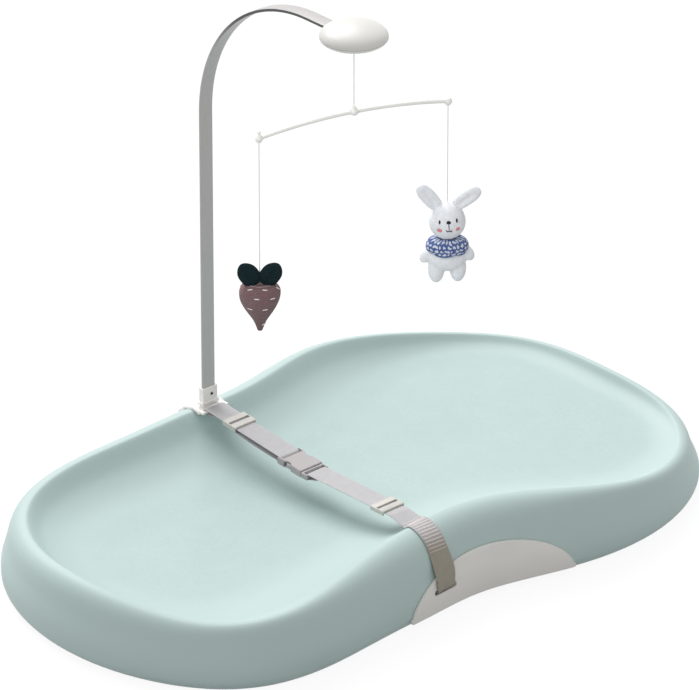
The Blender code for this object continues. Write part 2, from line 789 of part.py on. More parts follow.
def make_rear_strap():
    """Webbing from its sewn tail round the bracket's bar to the buckle's bar and back."""
    up = math.degrees(rear_slope) + 90
    lip = Vector((lip_bar_y, lip_bar_height))
    socket = Vector(belt_point(socket_bar))
    along = (lip - socket).normalized()
    normal = Vector((-along.y, along.x))
    layer = webbing_thickness + gap
    path = [tuple(lip - along * strap_tail + normal * (belt_wrap - layer))]
    path += arc_points(lip, belt_wrap, up - 180, up, 8)
    path += arc_points(socket, belt_wrap, up, up + 180, 8)
    start, end = belt_wrap * 2, layer + adjuster_bar_thickness + gap
    length = (adjuster_rear_y - socket.x) / along.x
    for share in (0.2, 0.4, 0.6, 0.8, 1.0):
        below = start + (end - start) * share + return_sag * math.sin(math.pi * share)
        path.append(tuple(socket + along * length * share + normal * (belt_wrap - below)))
    xs = (belt_x - webbing_width / 2, belt_x + webbing_width / 2)
    return add_object("strap_rear", ribbon_mesh("strap_rear", [path, path], xs, webbing_thickness), webbing)


def make_front_strap():
    """Webbing from its sewn tail round the plug's bar, over the rim and round the pin behind the cover."""
    up = math.degrees(front_slope) + 90
    plug = Vector(belt_point(plug_bar))
    bend = Vector((front_bend_y, front_bend_height))
    along = Vector((math.cos(front_slope), math.sin(front_slope)))
    normal = Vector((-along.y, along.x))
    start = [tuple(plug - along * strap_tail + normal * (belt_wrap - webbing_thickness - gap))]
    start += arc_points(plug, belt_wrap, up - 180, up, 8)
    xs = (belt_x - webbing_width / 2, belt_x, belt_x + webbing_width / 2)
    layer = webbing_thickness / 2
    paths = []
    for x in xs:
        over = surface_path(x, -1, 104, 44, seat_gap + layer)
        wall = wall_y(x, -1)
        outside = wall - seat_gap - cover_thickness - gap - layer
        slot_top = cover_slot_z + layer * 3
        down = [(outside, cover_top(x) + layer), (outside, slot_top + layer)]
        pin = (wall + pin_inset, pin_height)
        inside = [(wall - seat_gap - cover_thickness, cover_slot_z + layer)]
        inside += arc_points(pin, pin_wrap - layer, 90, -90, 8)
        ribbed = spread_evenly(over + down, 2 * rib_count + 1)
        paths.append(start + [tuple(bend)] + ribbed + inside)
    plain = len(start) + 1
    ribs = [0.0] * plain + [rib_height * (i % 2) for i in range(2 * rib_count + 1)] + [0.0] * len(inside)
    mesh = ribbon_mesh("strap_front", paths, xs, webbing_thickness, ribs)
    return add_object("strap_front", mesh, webbing)


def make_adjuster(name, place, turn):
    """Slide whose wide bars lie over the webbing and whose middle bar lies under it."""
    half = webbing_width / 2 + webbing_side_gap
    channel = webbing_thickness / 2 + gap
    length = adjuster_length / 2
    size = (2 * (half + adjuster_rail), adjuster_length, 2 * (channel + adjuster_bar_thickness))
    mesh = block_mesh(name, size, (0, 0, 0), adjuster_bar_thickness / 3)
    slide = add_object(name, mesh, buckle_plastic, None, place, turn)
    beyond = length + cut_overrun
    cut_box(slide, (-half, -beyond, -channel), (half, beyond, channel))
    window = length - adjuster_wide_bar
    cut_box(slide, (-half, -window, 0), (half, window, channel + adjuster_bar_thickness + cut_overrun))
    for side in (-1, 1):
        ends = sorted((side * adjuster_middle_bar / 2, side * beyond))
        cut_box(slide, (-half, ends[0], -channel - adjuster_bar_thickness - cut_overrun), (half, ends[1], 0))
    return slide


def thin_bar(item, along, thickness):
    """Cuts a strap bar back to the bar's own thickness, above and below."""
    half = webbing_width / 2 + webbing_side_gap
    for side in (-1, 1):
        ends = sorted((side * belt_bar / 2, side * (thickness / 2 + cut_overrun)))
        reach = belt_bar / 2 + gap
        low = (-half, along - reach - cut_overrun * (along < 0), ends[0])
        cut_box(item, low, (half, along + reach + cut_overrun * (along > 0), ends[1]))


def make_socket_half():
    size = (buckle_width, socket_length, buckle_thickness)
    mesh = block_mesh("buckle_socket", size, (0, 0, 0), buckle_edge_round)
    housing = add_object("buckle_socket", mesh, buckle_plastic, None, buckle_place, buckle_turn)
    front = -socket_length / 2
    half = Vector((socket_mouth_width / 2, socket_mouth_height / 2))
    cut_box(housing, (-half.x, front - cut_overrun, -half.y), (half.x, front + socket_mouth_depth, half.y))
    wide = buckle_width / 2 + cut_overrun
    low = (-wide, prong_root + prong_head_start - gap * 2, -half.y)
    cut_box(housing, low, (wide, prong_root + prong_head_start + prong_head_length + gap * 2, half.y))
    middle = prong_root + prong_head_start + prong_head_length / 2
    for side in (-1, 1):
        mesh = rod_mesh("notch", notch_radius, -buckle_thickness, buckle_thickness, 20)
        mesh.transform(Matrix.Translation((side * (buckle_width / 2 + notch_offset), middle, 0)))
        combine(housing, mesh)
    slot_half = webbing_width / 2 + webbing_side_gap
    inner = socket_bar - belt_bar / 2
    low = (-slot_half, inner - socket_slot, -buckle_thickness)
    cut_box(housing, low, (slot_half, inner, buckle_thickness))
    thin_bar(housing, socket_bar, buckle_thickness)
    return housing


def make_plug():
    length = plug_mouth_bar + plug_slot + belt_bar
    front = prong_root - gap
    size = (buckle_width, length, plug_thickness)
    mesh = block_mesh("buckle_plug", size, (0, front - length / 2, 0), buckle_edge_round)
    plug = add_object("buckle_plug", mesh, buckle_plastic, None, buckle_place, buckle_turn)
    slot_half = webbing_width / 2 + webbing_side_gap
    low = (-slot_half, front - plug_mouth_bar - plug_slot, -plug_thickness)
    cut_box(plug, low, (slot_half, front - plug_mouth_bar, plug_thickness))
    thin_bar(plug, plug_bar, plug_thickness)
    half = Vector((tongue_width / 2, prong_thickness / 2))
    add_box(plug, (-half.x, front - plug_mouth_bar / 2, -half.y), (half.x, front + tongue_length, half.y))
    return plug


def make_prong(name, side):
    """Springy arm of the plug with the button that shows in the socket's side."""
    inner, outer = -prong_arm_width / 2, prong_arm_width / 2
    head = prong_head_x - prong_arm_x
    start, end = prong_head_start, prong_head_start + prong_head_length
    outline = [(inner, 0), (outer, 0), (outer, start), (head * prong_neck_share, start), (head, start + head / 2)]
    outline += [(head, end - head), (outer, end), (inner, end)]
    low, high = -prong_thickness / 2, prong_thickness / 2
    rings = [[(side * x, y, z) for x, y in outline] for z in (low, high)]
    place = Vector(buckle_place) + Matrix.Rotation(rear_slope, 3, "X") @ Vector((side * prong_arm_x, prong_root, 0))
    return add_object(name, rings_mesh(name, rings), buckle_plastic, None, place, buckle_turn)


clear_scene()

mint = make_material("mint_foam", (0.45, 0.64, 0.59), 0.62)
greige = make_material("greige_plastic", (0.66, 0.62, 0.57), 0.45)
white_plastic = make_material("white_plastic", (0.84, 0.83, 0.79), 0.35)
pod_plastic = make_material("pod_plastic", (0.80, 0.79, 0.74), 0.40)
inner_plastic = make_material("inner_plastic", (0.55, 0.54, 0.52), 0.50)
grey_metal = make_material("grey_metal", (0.33, 0.33, 0.32), 0.45, 0.6)
steel = make_material("steel", (0.55, 0.55, 0.56), 0.35, 1.0)
dark_screw = make_material("dark_screw", (0.09, 0.09, 0.09), 0.40, 0.8)
webbing = make_material("webbing", (0.68, 0.64, 0.65), 0.85)
buckle_plastic = make_material("buckle_plastic", (0.71, 0.68, 0.66), 0.42)
thread = make_material("thread", (0.80, 0.80, 0.78), 0.80)
mauve_knit = make_material("mauve_knit", (0.21, 0.13, 0.145), 0.95)
green_knit = make_material("green_knit", (0.008, 0.028, 0.026), 0.95)
plush = make_material("white_plush", (0.62, 0.65, 0.70), 0.95)
collar_cloth = make_material("collar_cloth", (0.11, 0.19, 0.42), 0.90)

# The plain mat's surface, which the strap and the bracket follow
plain_mat = mat_mesh()
corners = [vert.co.copy() for vert in plain_mat.vertices]
mat_surface = BVHTree.FromPolygons(corners, [tuple(face.vertices) for face in plain_mat.polygons])

# Places and clearances that follow from the sizes above
arm_post_y = wall_y(belt_x, 1) - arm_post_inset
lip_bar_y = arm_post_y - lip_bar_setback
adjuster_rear_y = lip_bar_y - adjuster_rear_reach
front_bend_y = wall_y(belt_x, -1) + front_bend_inset
adjuster_front_y = front_bend_y + adjuster_front_reach
sleeve_room = gap + socket_sleeve_wall
belt_wrap = math.hypot(belt_bar, belt_bar) / 2 + gap + webbing_thickness / 2
pin_wrap = strap_pin_radius + gap + webbing_thickness
pin_inset = strap_pin_inset
pin_height = cover_slot_z + webbing_thickness / 2 - pin_wrap
lip_corner = Vector((belt_x + bracket_width / 2, lip_bar_y + belt_bar, rim_top * 2))
lip_ground = mat_surface.ray_cast(lip_corner, Vector((0, 0, -1)))[0].z
lip_bar_height = lip_ground + lip_bar_lift
bracket_top = section(angle_at(belt_x + bracket_width / 2, 1))[7][1] + seat_gap + gap + belt_bar
socket_top_height = bracket_top + gap + socket_flange_height + socket_cap_height
arm_screw_height = socket_top_height - arm_screw_drop
screw_place = Vector((belt_x + arm_screw_aside, arm_post_y - arm_thickness / 2 - gap, arm_screw_height))
prong_root = -socket_length / 2
socket_bar = socket_length / 2 - belt_bar / 2
plug_bar = prong_root - gap - plug_mouth_bar - plug_slot - belt_bar / 2
rear_slope = math.atan2(lip_bar_height - buckle_height, lip_bar_y - buckle_y)
plug_point = belt_point(plug_bar)
front_slope = math.atan2(plug_point[1] + belt_wrap - front_bend_height, plug_point[0] - front_bend_y)
rib_run = front_bend_height - cover_slot_z
rib_count = max(4, round(rib_run / rib_pitch))
buckle_place = Vector((belt_x, buckle_y, buckle_height))
buckle_turn = (rear_slope, 0, 0)
pod_place = Vector((belt_x, pod_y, arm_nose_height))
swivel_drop = pod_bottom_depth + gap * 2 + swivel_foot_height

# Pivots of the hanging pieces
swivel = add_empty("swivel", pod_place)
hanger = add_empty("hanger", (0, 0, -swivel_drop - gap), (0, 0, 0), swivel)
main_length = arm_nose_height - swivel_drop - gap * 2 - crossbar_height - knob_above
bar = add_empty("bar", (0, 0, -main_length - gap - knob_above), (0, 0, mobile_heading), hanger)
line_top = -crossbar_drop - cap_height / 2 - gap
left_line = add_empty("left_line", (-crossbar_half_length, 0, line_top), (0, 0, -mobile_heading), bar)
right_line = add_empty("right_line", (crossbar_half_length, 0, line_top), (0, 0, -mobile_heading), bar)
line_height = crossbar_height + line_top
bunny_top = bunny_head_place[1] + bunny_head[2]
left_length = line_height - carrot_top_height - gap
right_length = line_height - bunny_foot_height - bunny_top - gap
carrot = add_empty("carrot", (0, 0, -left_length - gap), (0, 0, carrot_heading), left_line)
bunny = add_empty("bunny", (0, 0, -right_length - gap), (0, 0, bunny_heading), right_line)

make_mat()
make_cover("side_cover_front", -1)
make_cover("side_cover_rear", 1)
make_strap_pin()
make_bracket()
make_socket()
make_arm_screw()
make_arm()
make_pod_shell("pod_top_shell", pod_top_height, 1)
make_pod_shell("pod_bottom_shell", pod_bottom_depth, -1)
make_pod_block()
make_swivel()
make_cord("main_thread", hanger, main_length, main_thread_points)
make_crossbar()
make_knob()
make_cap("bar_cap_left", -1)
make_cap("bar_cap_right", 1)
make_bead()
make_cord("left_thread", left_line, left_length, left_thread_points)
make_cord("right_thread", right_line, right_length, right_thread_points)
make_carrot()
make_bunny()
make_rear_strap()
make_front_strap()
for name, y in (("adjuster_rear", adjuster_rear_y), ("adjuster_front", adjuster_front_y)):
    slope = rear_slope if y > 0 else front_slope
    origin = belt_point(0) if y > 0 else plug_point
    height = origin[1] + (y - origin[0]) * math.tan(slope) + belt_wrap / math.cos(slope)
    make_adjuster(name, (belt_x, y, height), (slope, 0, 0))
make_socket_half()
make_plug()
make_prong("buckle_prong_left", -1)
make_prong("buckle_prong_right", 1)
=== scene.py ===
import json
import math
import random

import bmesh
import bpy
import numpy as np
from mathutils import Matrix, Vector
from mathutils.bvhtree import BVHTree

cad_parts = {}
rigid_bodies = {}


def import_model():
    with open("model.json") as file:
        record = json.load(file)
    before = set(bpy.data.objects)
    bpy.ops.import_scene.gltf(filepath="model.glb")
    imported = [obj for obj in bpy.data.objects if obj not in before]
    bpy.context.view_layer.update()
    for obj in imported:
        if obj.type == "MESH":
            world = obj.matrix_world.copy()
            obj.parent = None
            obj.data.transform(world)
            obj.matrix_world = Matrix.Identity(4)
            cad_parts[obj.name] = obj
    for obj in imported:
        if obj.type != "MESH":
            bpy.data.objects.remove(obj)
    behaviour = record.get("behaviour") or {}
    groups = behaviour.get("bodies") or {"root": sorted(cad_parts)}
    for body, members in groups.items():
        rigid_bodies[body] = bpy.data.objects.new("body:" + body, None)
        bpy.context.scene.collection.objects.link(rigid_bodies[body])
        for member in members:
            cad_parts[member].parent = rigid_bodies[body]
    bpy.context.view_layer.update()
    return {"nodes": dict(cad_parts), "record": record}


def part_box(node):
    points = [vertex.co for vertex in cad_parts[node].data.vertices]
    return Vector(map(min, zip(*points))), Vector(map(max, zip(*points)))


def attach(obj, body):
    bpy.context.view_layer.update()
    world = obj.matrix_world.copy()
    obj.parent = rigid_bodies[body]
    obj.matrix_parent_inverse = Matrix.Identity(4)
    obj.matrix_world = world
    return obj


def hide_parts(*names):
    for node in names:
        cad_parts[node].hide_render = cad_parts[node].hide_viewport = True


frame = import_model()
nodes = frame["nodes"]
bodyOf = {}
for bodyName, members in frame["record"]["behaviour"]["bodies"].items():
    for member in members:
        bodyOf[member] = bodyName
slotOf = {part["node"]: part["material_slot"] for part in frame["record"]["subparts"]}
print("frame: ", len(nodes), "nodes")


# Node helpers: a wire is a socket that sums can be written with
class Wire:
    def __init__(self, net, socket):
        self.net = net
        self.socket = socket

    def out(self, name):
        return Wire(self.net, self.socket.node.outputs[name])

    def maths(self, operation, *others):
        values = {i: value for i, value in enumerate((self, *others))}
        return self.net.node("ShaderNodeMath", {"operation": operation}, values)

    def __add__(self, other):
        return self.maths("ADD", other)

    def __radd__(self, other):
        return self.maths("ADD", other)

    def __sub__(self, other):
        return self.maths("SUBTRACT", other)

    def __rsub__(self, other):
        return self.net.node("ShaderNodeMath", {"operation": "SUBTRACT"}, {0: other, 1: self})

    def __mul__(self, other):
        return self.maths("MULTIPLY", other)

    def __rmul__(self, other):
        return self.maths("MULTIPLY", other)

    def __truediv__(self, other):
        return self.maths("DIVIDE", other)


class Net:
    def __init__(self, tree):
        self.tree = tree

    # one node: its settings first, then a value or a wire for each named socket
    def node(self, kind, settings, values, output=0):
        made = self.tree.nodes.new(kind)
        for key, value in settings.items():
            setattr(made, key, value)
        for key, value in values.items():
            if isinstance(value, Wire):
                self.tree.links.new(value.socket, made.inputs[key])
            else:
                made.inputs[key].default_value = value
        return Wire(self, made.outputs[output]) if len(made.outputs) else None

    def noise(self, place, scale, detail=2.0, rough=0.5):
        values = {"Vector": place, "Scale": scale, "Detail": detail, "Roughness": rough}
        return self.node("ShaderNodeTexNoise", {}, values)

    def fade(self, value, low, high):
        # smooth step from 0 at low to 1 at high
        values = {0: value, 1: low, 2: high}
        return self.node("ShaderNodeMapRange", {"interpolation_type": "SMOOTHSTEP"}, values)

    def blend(self, share, first, second):
        values = {0: share, 6: first, 7: second}
        return self.node("ShaderNodeMix", {"data_type": "RGBA"}, values, 2)

    def stretch(self, place, scale, turn=(0, 0, 0), move=(0, 0, 0)):
        values = {"Vector": place, "Scale": scale, "Rotation": turn, "Location": move}
        return self.node("ShaderNodeMapping", {"vector_type": "POINT"}, values)

    def axes(self, place):
        split = self.node("ShaderNodeSeparateXYZ", {}, {"Vector": place})
        return split, split.out("Y"), split.out("Z")


def colour(red, green, blue):
    # 0 to 255 as seen on a screen, to the linear values that a shader takes
    linear = []
    for level in (red / 255, green / 255, blue / 255):
        linear.append(level / 12.92 if level <= 0.04045 else ((level + 0.055) / 1.055) ** 2.4)
    return (*linear, 1.0)


def startMaterial(name):
    material = bpy.data.materials.new(name)
    material.use_nodes = True
    material.node_tree.nodes.clear()
    net = Net(material.node_tree)
    return material, net, net.node("ShaderNodeTexCoord", {}, {}, "Object")


def finishMaterial(net, tint, roughness, height, depth, **constants):
    # height is 0 to 1 and depth is what 1 stands for in metres
    bump = net.node("ShaderNodeBump", {}, {"Height": height, "Distance": depth, "Strength": 1.0})
    values = {"Base Color": tint, "Roughness": roughness, "Normal": bump}
    values.update({name.replace("_", " "): value for name, value in constants.items()})
    shader = net.node("ShaderNodeBsdfPrincipled", {}, values)
    net.node("ShaderNodeOutputMaterial", {}, {"Surface": shader})


# Mint skin of the moulded foam: pebbled on the bed, nearly smooth on the rim
def makeFoam():
    look = {
        "tint": colour(197, 218, 215), "deep": colour(190, 213, 210),
        "pebble": 700, "pebbleDepth": 0.00020, "grain": 2600, "mottle": 28}
    material, net, place = startMaterial("mintFoam")
    bed = net.node("ShaderNodeAttribute", {"attribute_name": "bedShare"}, {}, "Fac")
    cells = net.node("ShaderNodeTexVoronoi", {"feature": "SMOOTH_F1"},
                     {"Vector": place, "Scale": look["pebble"], "Smoothness": 0.7}, "Distance")
    pebbles = (1 - cells) * bed
    grain = net.noise(place, look["grain"], 1.0)
    patches = net.noise(place, look["mottle"], 3.0, 0.6)
    specks = net.noise(place, 260, 2.0, 0.7)
    share = (patches * 0.6 + specks * bed * 0.9 - 0.35) * 0.9
    tint = net.blend(net.fade(share, 0.0, 0.6), look["tint"], look["deep"])
    height = pebbles * 0.8 + grain * 0.2
    finishMaterial(net, tint, 0.52 + bed * 0.12, height, look["pebbleDepth"])
    return material


# Moulded plastics: one function, with a fine grain, faint flow marks and a painted highlight on sharp edges
def makePlastic(name, tint, shade, roughness, grain=1800, depth=0.00004):
    material, net, place = startMaterial(name)
    fine = net.noise(place, grain, 2.0, 0.6)
    flow = net.noise(net.stretch(place, (1, 1, 3)), 24, 1.0, 0.4)
    edge = net.node("ShaderNodeNewGeometry", {}, {}, "Pointiness")
    # painted highlight: sharp edges are painted paler, as if a rounded edge caught the light
    edgeHighlight = net.fade(edge, 0.52, 0.60)
    tone = net.blend(net.fade(flow, 0.3, 0.75), tint, shade)
    pale = tuple(min(1.0, level * 1.06 + 0.01) for level in tint[:3]) + (1.0,)
    tone = net.blend(edgeHighlight * 0.6, tone, pale)
    finishMaterial(net, tone, roughness + fine * 0.12 - 0.06, fine, depth)
    return material


# Brushed grey strip: streaks run along it, from its own length and width attributes; its edge faces carry painted
# shade from the start of its bow
def makeBrushedMetal():
    material, net, place = startMaterial("brushedGreyMetal")
    along = net.node("ShaderNodeAttribute", {"attribute_name": "along"}, {}, "Fac")
    across = net.node("ShaderNodeAttribute", {"attribute_name": "across"}, {}, "Fac")
    own = net.node("ShaderNodeCombineXYZ", {}, {"X": across * 5200, "Y": along * 34, "Z": 0.0})
    streak = net.noise(own, 1.0, 3.0, 0.6)
    haze = net.noise(place, 14, 2.0)
    tint = net.blend(net.fade(streak, 0.25, 0.8), colour(191, 188, 187), colour(202, 199, 198))
    # painted shade: the strip's edge faces are painted dark grey from the start of its bow onward
    rim = net.fade(across.maths("ABSOLUTE"), 0.0072, 0.0077)
    tint = net.blend(rim * net.fade(along, 0.44, 0.52), tint, colour(92, 92, 94))
    rough = 0.34 + streak * 0.12 + haze * 0.05
    finishMaterial(net, tint, rough, streak, 0.00003, Metallic=0.15)
    return material


def makeDarkSteel(name, tint, roughness):
    material, net, place = startMaterial(name)
    marks = net.noise(net.stretch(place, (1, 1, 6)), 900, 2.0)
    tone = net.blend(marks, tint, tuple(min(1.0, level * 1.5) for level in tint[:3]) + (1.0,))
    finishMaterial(net, tone, roughness + marks * 0.15, marks, 0.00003, Metallic=1.0)
    return material


# Flat woven webbing: the weave follows the strap's own UV map, which is in metres
def makeWebbing(name, tint, shade, change=None, lowTint=None, lowShade=None):
    weave = {"warp": 0.00125, "weft": 0.00105, "depth": 0.00022}
    material, net, place = startMaterial(name)
    flat = net.node("ShaderNodeUVMap", {"uv_map": "webbing"}, {}, "UV")
    across, along, _ = net.axes(flat)
    column = (across / weave["warp"]).maths("FLOOR")
    ridge = (across / weave["warp"]).maths("FRACT")
    bulge = ((ridge - 0.5).maths("ABSOLUTE") * 2).maths("POWER", 2.0)
    turnOver = ((along / weave["weft"] + column * 0.5) * (2 * math.pi)).maths("SINE")
    yarn = (1 - bulge) * (turnOver * 0.35 + 0.65)
    fluff = net.noise(place, 2400, 2.0)
    height = yarn * 0.8 + fluff * 0.2
    wide = net.noise(place, 130, 2.0)
    raised = net.fade(height + wide * 0.3, 0.15, 0.95)
    tone = net.blend(raised, shade, tint)
    # further along than change the webbing turns tan and darker: partly its own tan, partly painted shade that darkens
    # the strap between the ribs
    if change:
        low = net.fade(along + fluff * 0.002, change, change + 0.03)
        tone = net.blend(low, tone, net.blend(raised, lowShade, lowTint))
    finishMaterial(net, tone, 0.78 + fluff * 0.12, height, weave["depth"])
    return material


# Ribs of the front strap, pale at the crest of the rim and tan lower down
def makeRibYarn():
    material, net, place = startMaterial("ribYarn")
    x, y, z = net.axes(place)
    fluff = net.noise(place, 2400, 2.0)
    high = net.fade(z + fluff * 0.004, 0.060, 0.092)
    tone = net.blend(high, colour(196, 184, 168), colour(240, 232, 230))
    finishMaterial(net, tone, 0.78 + fluff * 0.12, fluff, 0.00015)
    return material


def makeThread():
    twist = {"pitch": 0.0011}
    material, net, place = startMaterial("twistedThread")
    x, y, z = net.axes(place)
    turn = ((z / twist["pitch"] + x * 500) * (2 * math.pi)).maths("SINE")
    fluff = net.noise(place, 3500, 2.0)
    tone = net.blend(net.fade(turn + fluff, -0.4, 1.2), colour(214, 214, 210), colour(244, 243, 239))
    finishMaterial(net, tone, 0.75 + fluff * 0.1, turn * 0.5 + 0.5, 0.00015)
    return material


# Fine knit in rows of V stitches, in a toy's own frame turned about its middle
def makeKnit(name, centre, heading, yarn, dark, light):
    material, net, place = startMaterial(name)
    moved = net.node("ShaderNodeVectorMath", {"operation": "SUBTRACT"}, {0: place, 1: centre})
    own = net.stretch(moved, (1, 1, 1), (0, 0, -heading))
    x, y, z = net.axes(own)
    angle = y.maths("ARCTAN2", x)
    columns = angle * (yarn["around"] / (2 * math.pi))
    leg = (columns.maths("FRACT") - 0.5).maths("ABSOLUTE")
    row = z / yarn["row"] + leg * 1.1
    bulge = (row * (2 * math.pi)).maths("SINE") * 0.5 + 0.5
    groove = 1 - (leg * 2 - 0.5).maths("ABSOLUTE") * 1.2
    height = bulge * 0.6 + groove * 0.4
    speck = net.noise(own, yarn["speck"], 3.0, 0.7)
    tone = net.blend(net.fade(height * 0.55 + speck * 0.9, 0.35, 1.05), dark, light)
    finishMaterial(net, tone, 0.88 + speck * 0.08, height + speck * 0.3, yarn["depth"], Sheen_Weight=yarn["sheen"],
                   Specular_IOR_Level=yarn["shine"])
    return material


def makeVelour(name, tint, shade, depth=0.00028):
    material, net, place = startMaterial(name)
    pile = net.noise(place, 1500, 3.0, 0.65)
    nap = net.noise(place, 210, 3.0, 0.6)
    tone = net.blend(net.fade(pile * 0.5 + nap * 0.7, 0.35, 0.85), shade, tint)
    finishMaterial(net, tone, 0.9 + pile * 0.06, pile * 0.7 + nap * 0.3, depth, Sheen_Weight=0.25)
    return material


# Collar cloth: rows of pale dots on blue, with a darker hem
def makeDotted(centre, heading, rows):
    material, net, place = startMaterial("dottedCollar")
    moved = net.node("ShaderNodeVectorMath", {"operation": "SUBTRACT"}, {0: place, 1: centre})
    own = net.stretch(moved, (1, 1, 1), (0, 0, -heading))
    x, y, z = net.axes(own)
    stray = net.noise(place, 230, 2.0) - 0.5
    around = y.maths("ARCTAN2", x) * (rows["around"] / (2 * math.pi)) + stray * 1.5
    band = (z + (net.noise(own, 260, 2.0) - 0.5) * 0.004) / rows["pitch"]
    shifted = around + band.maths("FLOOR") * 0.5
    dx = (shifted.maths("FRACT") - 0.5) * 1.15
    dz = band.maths("FRACT") - 0.5
    far = (dx * dx + dz * dz).maths("SQRT")
    dot = 1 - net.fade(far + stray * 0.3, 0.28, 0.42)
    wool = net.noise(place, 1400, 3.0, 0.6)
    hem = 1 - net.fade(z + wool * 0.0008, rows["hem"], rows["hem"] + 0.0016)
    cloth = net.blend(wool, colour(58, 80, 130), colour(86, 108, 160))
    cloth = net.blend(dot * 0.85, cloth, colour(222, 226, 240))
    cloth = net.blend(hem * 0.7, cloth, colour(74, 102, 160))
    finishMaterial(net, cloth, 0.9 + wool * 0.05, wool * 0.6 + dot * 0.4, 0.0003, Sheen_Weight=0.1)
    return material


foam = makeFoam()
greige = makePlastic("greigePlastic", colour(249, 247, 242), colour(246, 244, 239), 0.46)
socketPlastic = makePlastic("socketPlastic", colour(238, 235, 232), colour(232, 229, 226), 0.42)
whitePlastic = makePlastic("whitePlastic", colour(246, 245, 241), colour(241, 240, 236), 0.34)
podPlastic = makePlastic("podPlastic", colour(242, 241, 236), colour(238, 237, 232), 0.36)
innerPlastic = makePlastic("innerPlastic", colour(196, 194, 190), colour(184, 182, 178), 0.50)
bucklePlastic = makePlastic("bucklePlastic", colour(192, 187, 188), colour(185, 180, 180), 0.40)
slidePlastic = makePlastic("slidePlastic", colour(222, 219, 212), colour(213, 210, 203), 0.40)
brushed = makeBrushedMetal()
steel = makeDarkSteel("plainSteel", colour(150, 150, 152), 0.3)
darkSteel = makeDarkSteel("darkScrew", colour(62, 60, 58), 0.4)
paleWeb, shadeWeb = colour(224, 223, 225), colour(192, 190, 192)
# tan colours of the front strap's lower part, darkened with painted shade between the ribs
shadedTanWeb, shadedDeepTan = colour(188, 182, 168), colour(152, 146, 132)
webbing = makeWebbing("webbing", paleWeb, shadeWeb)
frontWebbing = makeWebbing("frontWebbing", paleWeb, shadeWeb, 0.184, shadedTanWeb, shadedDeepTan)
ribYarn = makeRibYarn()
print("materials made")


# Piece helpers
def addPiece(name, mesh, material=None):
    piece = bpy.data.objects.new(name, mesh)
    bpy.context.scene.collection.objects.link(piece)
    if material is not None:
        mesh.materials.clear()
        mesh.materials.append(material)
    return piece


def settle(piece, *replaced, body=None, slot=None):
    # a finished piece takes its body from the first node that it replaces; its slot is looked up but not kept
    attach(piece, body or bodyOf[replaced[0]])
    slot or slotOf[replaced[0]]
    if replaced:
        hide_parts(*replaced)
    return piece


def meshFrom(bm, name, creased=40, outward=True):
    if outward:
        bmesh.ops.recalc_face_normals(bm, faces=bm.faces[:])
    mesh = bpy.data.meshes.new(name)
    bm.to_mesh(mesh)
    bm.free()
    mesh.shade_smooth()
    mesh.set_sharp_from_angle(angle=math.radians(creased))
    return mesh


def loft(name, rings, closed=True, creased=40):
    # rings of points joined by quads; closed rings get a face on each end
    bm = bmesh.new()
    rows = [[bm.verts.new(point) for point in ring] for ring in rings]
    count = len(rings[0])
    for low, high in zip(rows, rows[1:]):
        for i in range(count if closed else count - 1):
            j = (i + 1) % count
            bm.faces.new((low[i], low[j], high[j], high[i]))
    if closed:
        bm.faces.new(rows[0])
        bm.faces.new(rows[-1])
    return meshFrom(bm, name, creased)


def lathe(name, profile, sides=64, depthShare=1.0, creased=40):
    # solid of revolution about Z; a first or last radius of 0 makes a pole
    bm = bmesh.new()
    rows = []
    for radius, height in profile:
        if radius < 1e-7:
            rows.append([bm.verts.new((0, 0, height))])
            continue
        row = []
        for i in range(sides):
            angle = 2 * math.pi * i / sides
            row.append(bm.verts.new((radius * math.cos(angle), depthShare * radius * math.sin(angle), height)))
        rows.append(row)
    for low, high in zip(rows, rows[1:]):
        for i in range(sides):
            j = (i + 1) % sides
            corners = [low[i % len(low)], low[j % len(low)], high[j % len(high)], high[i % len(high)]]
            bm.faces.new(list(dict.fromkeys(corners)))
    for row in (rows[0], rows[-1]):
        if len(row) > 1:
            bm.faces.new(row)
    return meshFrom(bm, name, creased)


def roundCorners(profile, radius, steps=5):
    # each inner corner of an open line of (radius, height) points becomes an arc
    points = [Vector(point) for point in profile]
    rounded = [points[0]]
    for before, corner, after in zip(points, points[1:], points[2:]):
        first, second = before - corner, after - corner
        reach = min(radius, first.length * 0.45, second.length * 0.45)
        start, end = corner + first.normalized() * reach, corner + second.normalized() * reach
        for i in range(steps + 1):
            t = i / steps
            rounded.append(start * (1 - t) ** 2 + corner * 2 * t * (1 - t) + end * t * t)
    rounded.append(points[-1])
    return [tuple(point) for point in rounded]


def moved(mesh, place, heading=0.0, tilt=0.0):
    mesh.transform(Matrix.Translation(place) @ Matrix.Rotation(heading, 4, "Z") @ Matrix.Rotation(tilt, 4, "Y"))
    return mesh


def frozen(piece):
    # modifiers become plain mesh, and the piece keeps its name
    graph = bpy.context.evaluated_depsgraph_get()
    mesh = bpy.data.meshes.new_from_object(piece.evaluated_get(graph), depsgraph=graph)
    piece.modifiers.clear()
    piece.data = mesh
    return piece


def carve(piece, cutter, operation="DIFFERENCE"):
    helper = addPiece("cutter", cutter)
    modifier = piece.modifiers.new("carve", "BOOLEAN")
    modifier.operation = operation
    modifier.solver = "EXACT"
    modifier.object = helper
    frozen(piece)
    bpy.data.objects.remove(helper)
    return piece


def boxMesh(low, high, corner=0.0, segments=3):
    bm = bmesh.new()
    bmesh.ops.create_cube(bm, size=1)
    size = Vector(high) - Vector(low)
    bmesh.ops.scale(bm, vec=size, verts=bm.verts)
    bmesh.ops.translate(bm, vec=(Vector(low) + Vector(high)) / 2, verts=bm.verts)
    if corner:
        bmesh.ops.bevel(bm, geom=bm.edges[:], offset=corner, segments=segments, profile=0.5, affect="EDGES")
    return meshFrom(bm, "box")


def joined(name, meshes):
    bm = bmesh.new()
    for mesh in meshes:
        bm.from_mesh(mesh)
    mesh = bpy.data.meshes.new(name)
    bm.to_mesh(mesh)
    bm.free()
    return mesh


